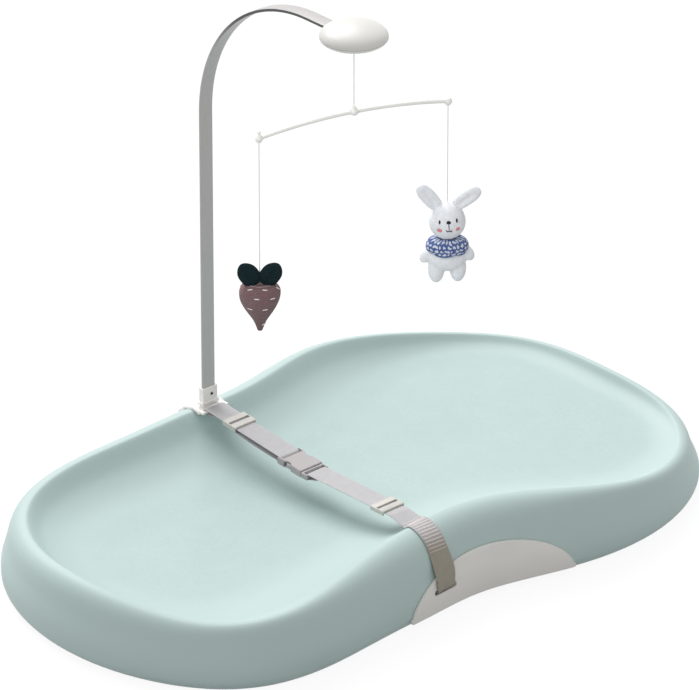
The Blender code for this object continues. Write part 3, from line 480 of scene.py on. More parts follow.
def softened(name, node, width, material, segments=3, limit=28):
    # a finished copy of a hard CAD piece, with its edges rounded
    bm = bmesh.new()
    bm.from_mesh(nodes[node].data)
    bmesh.ops.remove_doubles(bm, verts=bm.verts, dist=0.000002)
    bmesh.ops.dissolve_limit(bm, angle_limit=math.radians(1.5), verts=bm.verts, edges=bm.edges)
    mesh = meshFrom(bm, name, outward=False)
    piece = addPiece(name, mesh, material)
    modifier = piece.modifiers.new("edges", "BEVEL")
    modifier.width = width
    modifier.segments = segments
    modifier.limit_method = "ANGLE"
    modifier.angle_limit = math.radians(limit)
    modifier.use_clamp_overlap = True
    modifier.harden_normals = True
    frozen(piece)
    return settle(piece, node)


# Geometry Nodes helpers
def startTree(name, inputs):
    tree = bpy.data.node_groups.new(name, "GeometryNodeTree")
    tree.interface.new_socket("Geometry", in_out="INPUT", socket_type="NodeSocketGeometry")
    for label, kind in inputs.items():
        tree.interface.new_socket(label, in_out="INPUT", socket_type="NodeSocket" + kind)
    tree.interface.new_socket("Geometry", in_out="OUTPUT", socket_type="NodeSocketGeometry")
    net = Net(tree)
    return net, net.node("NodeGroupInput", {}, {})


def finishTree(net, given, shape):
    real = net.node("GeometryNodeRealizeInstances", {}, {"Geometry": shape})
    dressed = net.node("GeometryNodeSetMaterial", {}, {"Geometry": real, "Material": given.out("Material")})
    net.node("NodeGroupOutput", {}, {"Geometry": dressed})
    return net.tree


def grow(name, base, tree, values):
    # runs a tree on a base mesh and keeps the result as a plain mesh
    holder = addPiece(name + "Base", base)
    modifier = holder.modifiers.new("grow", "NODES")
    modifier.node_group = tree
    for item in tree.interface.items_tree:
        if item.item_type == "SOCKET" and item.in_out == "INPUT" and item.name in values:
            modifier[item.identifier] = values[item.name]
    graph = bpy.context.evaluated_depsgraph_get()
    mesh = bpy.data.meshes.new_from_object(holder.evaluated_get(graph), preserve_all_data_layers=True, depsgraph=graph)
    bpy.data.objects.remove(holder)
    return addPiece(name, mesh)


def pointMesh(name, places, **vectors):
    # loose points with named vectors, for the trees to stand their copies on
    mesh = bpy.data.meshes.new(name)
    mesh.from_pydata([tuple(place) for place in places], [], [])
    for label, rows in vectors.items():
        layer = mesh.attributes.new(label, "FLOAT_VECTOR", "POINT")
        layer.data.foreach_set("vector", [value for row in rows for value in row])
    return mesh


def barTree():
    # round bars, such as ribs and stitches, laid along a vector and seated on a normal
    net, given = startTree("laidBars", {
        "Length": "Float", "Radius": "Float", "Flatness": "Float", "Sides": "Int", "Material": "Material"})
    half = given.out("Length") * 0.5
    start = net.node("ShaderNodeCombineXYZ", {}, {"X": half * -1})
    end = net.node("ShaderNodeCombineXYZ", {}, {"X": half})
    line = net.node("GeometryNodeCurvePrimitiveLine", {}, {"Start": start, "End": end})
    line = net.node("GeometryNodeResampleCurve", {"mode": "COUNT"}, {"Curve": line, "Count": 9})
    share = net.node("GeometryNodeSplineParameter", {}, {}, "Factor")
    off = (share * 2 - 1).maths("ABSOLUTE")
    swell = (1 - off.maths("POWER", 8.0)).maths("SQRT").maths("MAXIMUM", 0.35)
    line = net.node("GeometryNodeSetCurveRadius", {}, {"Curve": line, "Radius": swell * given.out("Radius")})
    ring = net.node("GeometryNodeCurvePrimitiveCircle", {}, {"Resolution": given.out("Sides"), "Radius": 1.0})
    bar = net.node("GeometryNodeCurveToMesh", {}, {
        "Curve": line, "Profile Curve": ring, "Scale": swell * given.out("Radius"), "Fill Caps": True})
    along = net.node("GeometryNodeInputNamedAttribute", {"data_type": "FLOAT_VECTOR"}, {"Name": "along"}, "Attribute")
    up = net.node("GeometryNodeInputNamedAttribute", {"data_type": "FLOAT_VECTOR"}, {"Name": "up"}, "Attribute")
    turn = net.node("FunctionNodeAlignRotationToVector", {"axis": "X"}, {"Vector": along})
    turn = net.node("FunctionNodeAlignRotationToVector", {"axis": "Z", "pivot_axis": "X"},
        {"Rotation": turn, "Vector": up})
    size = net.node("ShaderNodeCombineXYZ", {}, {"X": 1.0, "Y": 1.0, "Z": given.out("Flatness")})
    laid = net.node("GeometryNodeInstanceOnPoints", {}, {
        "Points": given, "Instance": bar, "Rotation": turn, "Scale": size})
    return finishTree(net, given, laid)


def stripTree():
    # a flat strip with round edges that follows a line of points, its corner filleted
    net, given = startTree("bowedStrip", {
        "Width": "Float", "Thickness": "Float", "Edge round": "Float", "Bend radius": "Float",
        "Bend steps": "Int", "Material": "Material"})
    path = net.node("GeometryNodeMeshToCurve", {}, {"Mesh": given})
    path = net.node("GeometryNodeFilletCurve", {"mode": "POLY"}, {
        "Curve": path, "Count": given.out("Bend steps"), "Radius": given.out("Bend radius")})
    run = net.node("GeometryNodeSplineParameter", {}, {}, "Length")
    path = net.node("GeometryNodeStoreNamedAttribute", {"data_type": "FLOAT", "domain": "POINT"}, {
        "Geometry": path, "Name": "along", "Value": run})
    section = net.node("GeometryNodeCurvePrimitiveQuadrilateral", {"mode": "RECTANGLE"}, {
        "Width": given.out("Width"), "Height": given.out("Thickness")})
    section = net.node("GeometryNodeFilletCurve", {"mode": "POLY"}, {
        "Curve": section, "Count": 5, "Radius": given.out("Edge round")})
    spot = net.node("GeometryNodeInputPosition", {}, {})
    side = net.node("ShaderNodeSeparateXYZ", {}, {"Vector": spot})
    section = net.node("GeometryNodeStoreNamedAttribute", {"data_type": "FLOAT", "domain": "POINT"}, {
        "Geometry": section, "Name": "across", "Value": side})
    strip = net.node("GeometryNodeCurveToMesh", {}, {"Curve": path, "Profile Curve": section, "Fill Caps": True})
    strip = net.node("GeometryNodeSetShadeSmooth", {}, {"Geometry": strip, "Shade Smooth": True})
    return finishTree(net, given, strip)


barRows = barTree()
bowedStrip = stripTree()


# Camera at the photograph's angle: it looks at a point beside and above the origin
view = {"azimuth": -42.24, "elevation": 28.70, "distance": 7.817, "lens": 397.96, "aside": 0.00214, "above": 0.1859}
frameWidth, frameHeight = 699, 690
viewTurn, viewRise = math.radians(view["azimuth"]), math.radians(view["elevation"])
viewRight = Vector((math.cos(viewTurn), math.sin(viewTurn), 0))
viewBack = Vector((math.sin(viewTurn) * math.cos(viewRise),
                   -math.cos(viewTurn) * math.cos(viewRise), math.sin(viewRise)))
viewUp = viewBack.cross(viewRight)
cameraPlace = viewBack * view["distance"]
cameraAim = viewRight * view["aside"] + viewUp * view["above"]
cameraData = bpy.data.cameras.new("camera")
cameraData.lens = view["lens"]
cameraData.sensor_width = 36
cameraData.clip_end = 60
camera = bpy.data.objects.new("camera", cameraData)
camera.location = cameraPlace
camera.rotation_euler = (cameraAim - cameraPlace).to_track_quat("-Z", "Y").to_euler()
bpy.context.scene.collection.objects.link(camera)
bpy.context.scene.camera = camera


def sight(px, py):
    # the camera's ray through a pixel of the 699 by 690 frame
    turn = camera.rotation_euler.to_matrix()
    scale = 36 / view["lens"] / frameWidth
    ray = Vector(((px - frameWidth / 2) * scale, (frameHeight / 2 - py) * scale, -1))
    return cameraPlace, (turn @ ray).normalized()


print("camera set")


# Threads of the mobile
mobile = {
    "swivel": (-0.047, -0.0613), "heading": math.radians(-17.7), "barHeight": 0.5045, "halfBar": 0.1012,
    "drop": 0.0087, "threadRadius": 0.00045}
mobileAlong = Vector((math.cos(mobile["heading"]), math.sin(mobile["heading"])))
leftEnd = Vector(mobile["swivel"]) - mobileAlong * mobile["halfBar"]
rightEnd = Vector(mobile["swivel"]) + mobileAlong * mobile["halfBar"]
threadMaterial = makeThread()


def makeCord(name, node):
    low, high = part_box(node)
    middle = (low + high) / 2
    curve = bpy.data.curves.new(name, "CURVE")
    curve.dimensions = "3D"
    curve.bevel_depth = mobile["threadRadius"]
    curve.bevel_resolution = 3
    curve.use_fill_caps = True
    spline = curve.splines.new("POLY")
    spline.points.add(31)
    for i, point in enumerate(spline.points):
        point.co = (middle.x, middle.y, high.z + (low.z - high.z) * i / 31, 1)
    curve.materials.append(threadMaterial)
    piece = bpy.data.objects.new(name, curve)
    bpy.context.scene.collection.objects.link(piece)
    settle(piece, node)
    return piece


makeCord("mainThread", "main_thread")
makeCord("carrotThread", "left_thread")
makeCord("bunnyThread", "right_thread")
print("threads hung")


# Mat: its outline, rim and bed follow smooth curves through a few shares
mat = {
    "length": 0.760, "rimTop": 0.0965, "crestInset": 0.0315, "baseRound": 0.013, "wallLean": 0.0075,
    "shoulder": 0.024, "fullness": 2.0, "widestShare": 0.45, "sides": 360, "bowlRows": 46,
    "outline": ([0, 18, 35, 52, 70, 90, 110, 128, 145, 162, 180],
                [1.000, 1.015, 0.923, 0.756, 0.586, 0.506, 0.546, 0.673, 0.883, 0.977, 1.000]),
    "rim": ([0, 30, 60, 90, 112, 135, 158, 180], [0.615, 0.580, 0.895, 1.000, 0.965, 0.845, 0.735, 0.800]),
    "crest": ([0, 40, 70, 90, 120, 150, 180], [0.76, 0.84, 0.96, 1.00, 0.96, 0.84, 0.80]),
    # how far the bowl's side runs in from the crest, and how high the bed lies behind it
    "reach": ([0, 22, 38, 50, 65, 90, 125, 155, 180], [0.036, 0.038, 0.048, 0.072, 0.098, 0.112, 0.120, 0.098, 0.085]),
    "bed": ([0, 40, 90, 140, 180], [0.0450, 0.0450, 0.0600, 0.0450, 0.0445]),
    "bowl": ([0, 0.045, 0.140, 0.220, 0.450, 0.652, 1], [0, 0.090, 0.40, 0.56, 0.83, 0.94, 1]),
    # the front side is a little lower and squarer, and under the belt it leans in more
    "frontAngles": (90, 85, 40),
    "front": {"rim": -0.0072, "crest": -0.0070, "shoulder": -0.0010, "lean": 0.0, "fullness": 0.35, "reach": 0.35},
    "beltAngles": (97, 50, 35),
    "belt": {"rim": -0.0012, "crest": 0.0125, "shoulder": 0.0130, "lean": -0.0020, "fullness": -0.35, "reach": -0.35}}


def smoothCurve(knots, values):
    # cubic through the values, level at both ends
    knots, values = np.array(knots, float), np.array(values, float)
    step = np.diff(knots)
    rise = np.diff(values) / step
    matrix, right = np.eye(len(knots)), np.zeros(len(knots))
    for i in range(1, len(knots) - 1):
        matrix[i, i - 1:i + 2] = (step[i], 2 * (step[i - 1] + step[i]), step[i - 1])
        right[i] = 3 * (rise[i - 1] * step[i] + rise[i] * step[i - 1])
    slope = np.linalg.solve(matrix, right)

    def value(at):
        i = int(min(max(np.searchsorted(knots, at) - 1, 0), len(knots) - 2))
        t = (at - knots[i]) / step[i]
        bend = slope[i] * t * (1 - t) ** 2 - slope[i + 1] * t * t * (1 - t)
        return float(values[i] * (1 - t) ** 2 * (1 + 2 * t) + values[i + 1] * t * t * (3 - 2 * t) + bend * step[i])
    return value


outlineCurve, rimCurve, crestCurve, reachCurve, bedCurve, bowlCurve = (
    smoothCurve(*mat[key]) for key in ("outline", "rim", "crest", "reach", "bed", "bowl"))


def folded(degrees):
    return abs((degrees + 180) % 360 - 180)


def outlinePoint(degrees):
    radius = mat["length"] / 2 * outlineCurve(folded(degrees))
    return Vector((radius * math.cos(math.radians(degrees)), radius * math.sin(math.radians(degrees))))


def outwardAt(degrees):
    along = (outlinePoint(degrees + 0.5) - outlinePoint(degrees - 0.5)).normalized()
    return Vector((along.y, -along.x))


def smoothStep(share):
    share = min(1.0, max(0.0, share))
    return share * share * (3 - 2 * share)


def frontShare(degrees, middle, end, fade):
    # 1 around an angle on the front side, smoothly down to 0 at its end
    return smoothStep((end - abs((degrees + 180) % 360 - 180 + middle)) / fade)


def sizesAt(degrees):
    # rim height, crest inset, shoulder height, lean, fullness and the bowl's reach at an angle
    front, belt = frontShare(degrees, *mat["frontAngles"]), frontShare(degrees, *mat["beltAngles"])
    change = {key: front * mat["front"][key] + belt * mat["belt"][key] for key in mat["front"]}
    return (mat["rimTop"] * rimCurve(folded(degrees)) + change["rim"],
            mat["crestInset"] * crestCurve(folded(degrees)) + change["crest"],
            mat["shoulder"] + change["shoulder"], mat["wallLean"] + change["lean"],
            mat["fullness"] + change["fullness"], reachCurve(folded(degrees)) * (1 + change["reach"]))


def insetAt(degrees, height):
    # how far the outer wall stands in from the outline at a height
    rim, crest, shoulder, lean, fullness = sizesAt(degrees)[:5]
    start = mat["widestShare"] * rim * 0.6
    inset = lean * smoothStep((height - start) / (rim - shoulder * 0.6 - start))
    if height > rim - shoulder:
        up = min(1.0, (height - rim + shoulder) / shoulder)
        inset += (crest - lean) * (1 - (1 - up ** fullness) ** (1 / fullness))
    return inset


def section(degrees):
    # outer side of the section, from the underside up to the crest
    rim, crest, shoulder, lean, fullness = sizesAt(degrees)[:5]
    points = []
    for i in range(9):
        angle = i / 8 * math.pi / 2
        points.append((mat["baseRound"] * (1 - math.sin(angle)), mat["baseRound"] * (1 - math.cos(angle))))
    top = rim - shoulder
    for i in range(1, 12):
        height = mat["baseRound"] + (top - mat["baseRound"]) * i / 12
        points.append((insetAt(degrees, height), height))
    for i in range(21):
        angle = i / 20 * math.pi / 2
        height = rim - shoulder * (1 - math.sin(angle) ** (2 / fullness))
        points.append((insetAt(degrees, height), height))
    points[-1] = (crest, rim)
    return points


def bowlShape(places):
    # heights inside the crest, and how far each place is down the bowl's side:
    # a smooth distance from the crest, with the nearby rim's own sizes
    angles = np.arange(0, 360, 0.25)
    line = []
    for degrees in angles:
        rim, crest, *others, reach = sizesAt(degrees)
        spot = outlinePoint(degrees) - outwardAt(degrees) * crest
        line.append((spot.x, spot.y, rim, reach, bedCurve(folded(degrees))))
    line = np.array(line)
    step = np.hypot(*(np.roll(line[:, :2], -1, axis=0) - np.roll(line[:, :2], 1, axis=0)).T) / 2
    shares = np.linspace(0, 1, 400)
    table = np.array([bowlCurve(share) for share in shares])
    heights, downs = [], []
    for start in range(0, len(places), 2000):
        part = np.array(places[start:start + 2000])
        gaps = (part[:, None, 0] - line[None, :, 0]) ** 2 + (part[:, None, 1] - line[None, :, 1]) ** 2
        weight = step[None, :] * np.maximum(gaps, 1e-7) ** -2.5
        total = weight.sum(axis=1)
        away = (4 / 3 / total) ** 0.25
        rim, reach, bed = (weight @ line[:, 2:] / total[:, None]).T
        down = np.clip(away / reach, 0, 1)
        heights.append(rim - (rim - bed) * np.interp(down, shares, table))
        downs.append(down)
    return np.concatenate(heights), np.concatenate(downs)


def matMesh(sides):
    outer, inner = [], []
    for i in range(sides):
        degrees = 360 * i / sides
        base, outward = outlinePoint(degrees), outwardAt(degrees)
        flats = [base - outward * inset for inset, height in section(degrees)]
        outer.append([(flat.x, flat.y, height) for flat, (inset, height) in zip(flats, section(degrees))])
        edge = flats[-1]
        for j in range(1, mat["bowlRows"]):
            share = 1 - (j / mat["bowlRows"]) ** 1.6
            inner.append((edge.x * share, edge.y * share))
    heights, downs = bowlShape(inner + [(0.0, 0.0)])
    bm = bmesh.new()
    layer = bm.verts.layers.float.new("bedShare")
    columns = []
    count = mat["bowlRows"] - 1
    for i in range(sides):
        column = [bm.verts.new(point) for point in outer[i]]
        for k in range(i * count, (i + 1) * count):
            vert = bm.verts.new((*inner[k], heights[k]))
            vert[layer] = smoothStep((downs[k] - 0.30) / 0.5)
            column.append(vert)
        columns.append(column)
    middle = bm.verts.new((0, 0, heights[-1]))
    middle[layer] = 1.0
    for i in range(sides):
        near, far = columns[i], columns[(i + 1) % sides]
        for j in range(len(near) - 1):
            bm.faces.new((near[j], far[j], far[j + 1], near[j + 1]))
        bm.faces.new((near[-1], far[-1], middle))
    bm.faces.new([column[0] for column in columns])
    return meshFrom(bm, "matFoam", 60)


def treeOf(mesh):
    corners = [vert.co.copy() for vert in mesh.vertices]
    return BVHTree.FromPolygons(corners, [tuple(face.vertices) for face in mesh.polygons])


matData = matMesh(mat["sides"])
matSurface = treeOf(matData)


def angleAt(x, side):
    low, high = 0.0, 180.0
    for _ in range(40):
        middle = (low + high) / 2
        if outlinePoint(middle).x > x:
            low = middle
        else:
            high = middle
    return side * low


def wallPoint(x, side, height, offset):
    degrees = angleAt(x, side)
    flat = outlinePoint(degrees) + outwardAt(degrees) * (offset - insetAt(degrees, height))
    return Vector((flat.x, flat.y, height))


def wallY(x, side):
    return outlinePoint(angleAt(x, side)).y


def wallHeading(x, side):
    outward = outwardAt(angleAt(x, side))
    return math.atan2(-side * outward.x, side * outward.y)


# Belt sizes, which the mat's pockets need too
belt = {
    "x": -0.047, "width": 0.025, "thickness": 0.0013, "bar": 0.0024, "tail": 0.013, "sag": 0.0010,
    "lip": (0.148, 0.09608), "buckle": (0.0196, 0.0852), "socketLength": 0.035, "mouthBar": 0.0025, "plugSlot": 0.0045,
    "bend": (-0.1285, 0.0880), "slotHeight": 0.0290, "pinRadius": 0.0025, "pinLength": 0.038, "pinInset": 0.0040,
    "gap": 0.0003, "slideRear": 0.111, "slideThickness": 0.0016}
cover = {
    "length": 0.204, "middle": 0.0073, "height": 0.0545, "tip": 0.0115, "floor": 0.0065, "thickness": 0.0030,
    "round": 0.0006, "corner": 0.0024, "fullness": 2.05, "seat": 0.0005, "slotWidth": 0.031, "slotHeight": 0.0052,
    "pegRadius": 0.003, "pegLength": 0.022, "pegSpacing": 0.166, "pegHeight": 0.024}
post = {"y": 0.1583, "width": 0.0158, "thickness": 0.003, "bendRadius": 0.1575, "nose": 0.5852, "room": 0.0018,
        "sleeveFoot": 0.0520, "edge": 0.0007, "cap": 0.0154, "flange": 0.0036}
pinWrap = belt["pinRadius"] + belt["gap"] + belt["thickness"]
pinHeight = belt["slotHeight"] + belt["thickness"] / 2 - pinWrap


def pegMesh(side, grow, start, end):
    mesh = lathe("peg", [(cover["pegRadius"] + grow, start), (cover["pegRadius"] + grow, end)], 20)
    mesh.transform(Matrix.Rotation(side * math.pi / 2, 4, "X"))
    return mesh


def pegPlaces(side):
    for step in (-1, 1):
        x = cover["middle"] + step * cover["pegSpacing"] / 2
        yield Vector((x, wallY(x, side), cover["pegHeight"]))


def makeMat():
    piece = addPiece("matFoam", matData, foam)
    cutters = []
    for side in (-1, 1):
        for place in pegPlaces(side):
            mesh = pegMesh(side, belt["gap"], -0.004, cover["pegLength"] + 0.0005)
            cutters.append(moved(mesh, place))
    roomX, roomY = post["width"] / 2 + post["room"], post["thickness"] / 2 + post["room"]
    sleeve = boxMesh((-roomX, -roomY, post["sleeveFoot"] - 0.0005), (roomX, roomY, 0.1))
    cutters.append(moved(sleeve, (belt["x"], post["y"], 0)))
    half = belt["pinLength"] / 2 + 0.001
    low = (-half, -cover["thickness"] - 0.004, pinHeight - pinWrap - 0.001)
    pocket = boxMesh(low, (half, belt["pinInset"] + pinWrap + 0.001, pinHeight + pinWrap + 0.001))
    cutters.append(moved(pocket, (belt["x"], wallY(belt["x"], -1), 0), wallHeading(belt["x"], -1)))
    carve(piece, joined("pockets", cutters))
    settle(piece, "mat_body")
    return piece


makeMat()
print("mat made")


# Side covers: half-moon shells with round edges that follow the waist
def coverTop(x):
    share = min(1.0, abs(x - cover["middle"]) / (cover["length"] / 2))
    return max(cover["tip"], cover["height"] * (1 - share ** cover["fullness"]) ** (1 / cover["fullness"]))


def makeCover(name, node, side):
    columns, rows = 120, 26
    left, right = cover["middle"] - cover["length"] / 2, cover["middle"] + cover["length"] / 2
    bm = bmesh.new()
    front, back = [], []
    for i in range(columns + 1):
        x = left + (right - left) * (1 - math.cos(math.pi * i / columns)) / 2
        near = max(0.0, 1 - min(x - left, right - x) / cover["corner"])
        turn = cover["corner"] * (1 - math.sqrt(max(0.0, 1 - near * near)))
        low, high = cover["floor"] + turn, coverTop(x) - turn
        outer, inner = [], []
        for j in range(rows + 1):
            z = low + (high - low) * (1 - math.cos(math.pi * j / rows)) / 2
            inside = min(z - low, high - z, x - left, right - x)
            short = max(0.0, 1 - inside / cover["round"])
            fall = cover["round"] * (1 - math.sqrt(max(0.0, 1 - short * short)))
            outer.append(bm.verts.new(wallPoint(x, side, z, cover["seat"] + cover["thickness"] - fall)))
            inner.append(bm.verts.new(wallPoint(x, side, z, cover["seat"])))
        front.append(outer)
        back.append(inner)
    for grid in (front, back):
        for a, b in zip(grid, grid[1:]):
            for j in range(rows):
                bm.faces.new((a[j], b[j], b[j + 1], a[j + 1]))
    for i in (0, columns):
        for j in range(rows):
            bm.faces.new((front[i][j], front[i][j + 1], back[i][j + 1], back[i][j]))
    for j in (0, rows):
        for i in range(columns):
            bm.faces.new((front[i][j], front[i + 1][j], back[i + 1][j], back[i][j]))
    piece = addPiece(name, meshFrom(bm, name, 50), greige)
    pegs = [moved(pegMesh(side, 0, -cover["seat"] - cover["thickness"] / 2, cover["pegLength"]), place)
            for place in pegPlaces(side)]
    carve(piece, joined("pegs", pegs), "UNION")
    if side < 0:
        half, tall = cover["slotWidth"] / 2, cover["slotHeight"] / 2
        slot = boxMesh((-half, -0.008, belt["slotHeight"] - tall), (half, 0.004, belt["slotHeight"] + tall), 0.0012)
        carve(piece, moved(slot, (belt["x"], wallY(belt["x"], side), 0), wallHeading(belt["x"], side)))
    piece.data.shade_smooth()
    piece.data.set_sharp_from_angle(angle=math.radians(50))
    return settle(piece, node)


makeCover("coverFront", "side_cover_front", -1)
makeCover("coverRear", "side_cover_rear", 1)
print("side covers made")


# Straps: webbing lofted along its path, with a UV map in metres
def offsetPath(path, distance):
    points = [Vector(point) for point in path]
    shifted = []
    for i, point in enumerate(points):
        before = (point - points[i - 1]).normalized() if i else (points[1] - point).normalized()
        after = (points[i + 1] - point).normalized() if i + 1 < len(points) else before
        normal = Vector((-before.y - after.y, before.x + after.x)).normalized()
        stretch = max(0.6, normal.dot(Vector((-before.y, before.x))))
        shifted.append(point + normal * (distance / stretch))
    return shifted


def spreadEvenly(path, count):
    points = [Vector(point) for point in path]
    run = [0.0]
    for a, b in zip(points, points[1:]):
        run.append(run[-1] + (b - a).length)
    spread = []
    for i in range(count):
        at = run[-1] * i / (count - 1)
        j = min(max(int(np.searchsorted(run, at)), 1), len(points) - 1)
        spread.append(points[j - 1].lerp(points[j], (at - run[j - 1]) / (run[j] - run[j - 1])))
    return spread


def rounded(path, passes=2):
    # cuts the corners of a path, its ends kept
    for _ in range(passes):
        cut = [path[0]]
        for a, b in zip(path, path[1:]):
            cut += [a.lerp(b, 0.25), a.lerp(b, 0.75)]
        path = cut + [path[-1]]
    return path


def arc(centre, radius, start, end, steps):
    points = []
    for i in range(steps + 1):
        angle = math.radians(start + (end - start) * i / steps)
        points.append(Vector((centre[0] + radius * math.cos(angle), centre[1] + radius * math.sin(angle))))
    return points


def strapMesh(name, pathAt, count):
    # pathAt gives the middle line in Y and Z for a place across the strap, from -1 to 1
    across = [math.sin(math.pi / 2 * (i / 6 - 1)) for i in range(13)]
    top, bottom, runs = [], [], []
    for place in across:
        path = spreadEvenly(pathAt(place), count)
        thick = belt["thickness"] / 2 * (1 - 0.72 * abs(place) ** 9)
        x = belt["x"] + place * belt["width"] / 2
        top.append([(x, *point) for point in offsetPath(path, thick)])
        bottom.append([(x, *point) for point in offsetPath(path, -thick)])
        run = [0.0]
        for a, b in zip(path, path[1:]):
            run.append(run[-1] + (b - a).length)
        runs.append(run)
    bm = bmesh.new()
    flat = bm.loops.layers.uv.new("webbing")
    lines = top + bottom[::-1]
    spots = list(range(13)) + list(range(12, -1, -1))
    grid = [[bm.verts.new(point) for point in line] for line in lines]
    marks = {}
    for column, spot in zip(grid, spots):
        for i, vert in enumerate(column):
            marks[vert] = (across[spot] * belt["width"] / 2 + 0.5 * belt["width"], runs[spot][i])
    for k in range(len(grid)):
        a, b = grid[k], grid[(k + 1) % len(grid)]
        for i in range(count - 1):
            bm.faces.new((a[i], b[i], b[i + 1], a[i + 1]))
    for i in (0, -1):
        bm.faces.new([column[i] for column in grid])
    for face in bm.faces:
        for loop in face.loops:
            loop[flat].uv = marks[loop.vert]
    return meshFrom(bm, name, 50), runs[6][-1]


beltWrap = math.hypot(belt["bar"], belt["bar"]) / 2 + belt["gap"] + belt["thickness"] / 2
lip, buckleMiddle = Vector(belt["lip"]), Vector(belt["buckle"])
rearSlope = math.atan2(lip.y - buckleMiddle.y, lip.x - buckleMiddle.x)
beltAlong = Vector((math.cos(rearSlope), math.sin(rearSlope)))
plugRoot = -belt["socketLength"] / 2
socketBar = belt["socketLength"] / 2 - belt["bar"] / 2
plugBar = plugRoot - belt["gap"] - belt["mouthBar"] - belt["plugSlot"] - belt["bar"] / 2
socketPoint = buckleMiddle + beltAlong * socketBar
plugPoint = buckleMiddle + beltAlong * plugBar
bend = Vector(belt["bend"])
frontSlope = math.atan2(plugPoint.y + beltWrap - bend.y, plugPoint.x - bend.x)


def rearPath(place):
    up = math.degrees(rearSlope) + 90
    along = (lip - socketPoint).normalized()
    normal = Vector((-along.y, along.x))
    layer = belt["thickness"] + belt["gap"]
    path = [lip - along * belt["tail"] + normal * (beltWrap - layer)]
    path += arc(lip, beltWrap, up - 180, up, 20)
    path += arc(socketPoint, beltWrap, up, up + 180, 20)
    start, end = beltWrap * 2, layer + belt["slideThickness"] + belt["gap"]
    length = (belt["slideRear"] - socketPoint.x) / along.x
    for i in range(1, 25):
        share = i / 24
        below = start + (end - start) * share + belt["sag"] * math.sin(math.pi * share)
        path.append(socketPoint + along * length * share + normal * (beltWrap - below))
    return path


def surfacePath(x, side, start, end, offset):
    core = Vector((x, side * post["y"], mat["shoulder"] * 2))
    steps = round(abs(start - end))
    hits = []
    for i in range(steps + 1):
        turn = math.radians(start + (end - start) * i / steps)
        hit = matSurface.ray_cast(core, Vector((0, side * math.cos(turn), math.sin(turn))))[0]
        hits.append(Vector((side * hit.y, hit.z)))
    return [Vector((side * point.x, point.y)) for point in offsetPath(hits, offset)]


def frontPath(place):
    up = math.degrees(frontSlope) + 90
    along = Vector((math.cos(frontSlope), math.sin(frontSlope)))
    normal = Vector((-along.y, along.x))
    layer = belt["thickness"] / 2
    x = belt["x"] + place * belt["width"] / 2
    path = [plugPoint - along * belt["tail"] + normal * (beltWrap - belt["thickness"] - belt["gap"])]
    path += arc(plugPoint, beltWrap, up - 180, up, 20)
    wall = wallY(x, -1)
    slotTop = belt["slotHeight"] + layer * 3
    outside = wall - cover["seat"] - cover["thickness"] - belt["gap"] - layer
    turn = [bend] + surfacePath(x, -1, 104, 44, cover["seat"] + layer)
    turn += [Vector((outside, coverTop(x) + layer)), Vector((outside, slotTop + layer))]
    inside = [Vector((wall - cover["seat"] - cover["thickness"], belt["slotHeight"] + layer))]
    inside += arc((wall + belt["pinInset"], pinHeight), pinWrap - layer, 90, -90, 20)
    return path + rounded(turn, 3) + inside


rearData, rearLength = strapMesh("strapRear", rearPath, 330)
strapRear = settle(addPiece("strapRear", rearData, webbing), "strap_rear")
frontData, frontLength = strapMesh("strapFront", frontPath, 330)
strapFront = settle(addPiece("strapFront", frontData, frontWebbing), "strap_front")


# Ribs of the front strap, a dozen below the place where it turns down over the rim
ribs = {"pitch": 0.0037, "count": 14, "radius": 0.00068, "flatness": 0.8, "start": -0.146}


def ribSeats(place):
    # evenly spaced seats for the ribs along one edge of the strap
    edge = [point for point in offsetPath(frontPath(place), -belt["thickness"] / 2)[22:-22] if point.x < ribs["start"]]
    length = sum((b - a).length for a, b in zip(edge, edge[1:]))
    fine = round(length / ribs["pitch"] * 8)
    return spreadEvenly(edge, fine)[::8][:ribs["count"]]


def makeRibs():
    left, right = ribSeats(-0.96), ribSeats(0.96)
    half = belt["width"] / 2 * 0.96
    places, along, up = [], [], []
    for i, (a, b) in enumerate(zip(left, right)):
        start, end = Vector((belt["x"] - half, *a)), Vector((belt["x"] + half, *b))
        ahead = left[min(i + 1, len(left) - 1)] - left[max(i - 1, 0)]
        places.append((start + end) / 2)
        along.append(end - start)
        up.append(Vector((0, ahead.y, -ahead.x)))
    base = pointMesh("ribPlaces", places, along=along, up=up)
    piece = grow("strapRibs", base, barRows, {
        "Length": 2 * half, "Radius": ribs["radius"], "Flatness": ribs["flatness"], "Sides": 10, "Material": ribYarn})
    piece.data.shade_smooth()
    return settle(piece, body="base", slot="webbing")


makeRibs()
print("straps made")

# Hard pieces of the belt and the post's foot, rounded copies of their nodes
softened("bracket", "arm_bracket", 0.0005, socketPlastic)
softened("slideRear", "adjuster_rear", 0.00035, slidePlastic)
softened("slideFront", "adjuster_front", 0.00035, slidePlastic)
softened("buckleSocket", "buckle_socket", 0.0003, bucklePlastic)
softened("bucklePlug", "buckle_plug", 0.0003, bucklePlastic)
softened("prongLeft", "buckle_prong_left", 0.0003, bucklePlastic)
softened("prongRight", "buckle_prong_right", 0.0003, bucklePlastic)
softened("podBlock", "pod_block", 0.0005, innerPlastic)
print("hard pieces rounded")


def turned(name, node, profile, place, material, sides=48, turn=None, depthShare=1.0):
    mesh = lathe(name, profile, sides, depthShare)
    if turn is not None:
        mesh.transform(turn)
    piece = addPiece(name, moved(mesh, place), material)
    return settle(piece, node) if node else piece


socketShape = {"wall": 0.0014, "flangeWallX": 0.0030, "flangeWallY": 0.0020, "edge": 0.0007, "edgeSteps": 4,
               "sleeveWall": 0.001, "sleeveEdge": 0.0003, "lap": 0.001, "floor": 0.003, "cutOver": 0.01,
               "holeDepth": 0.004, "holeSides": 32}


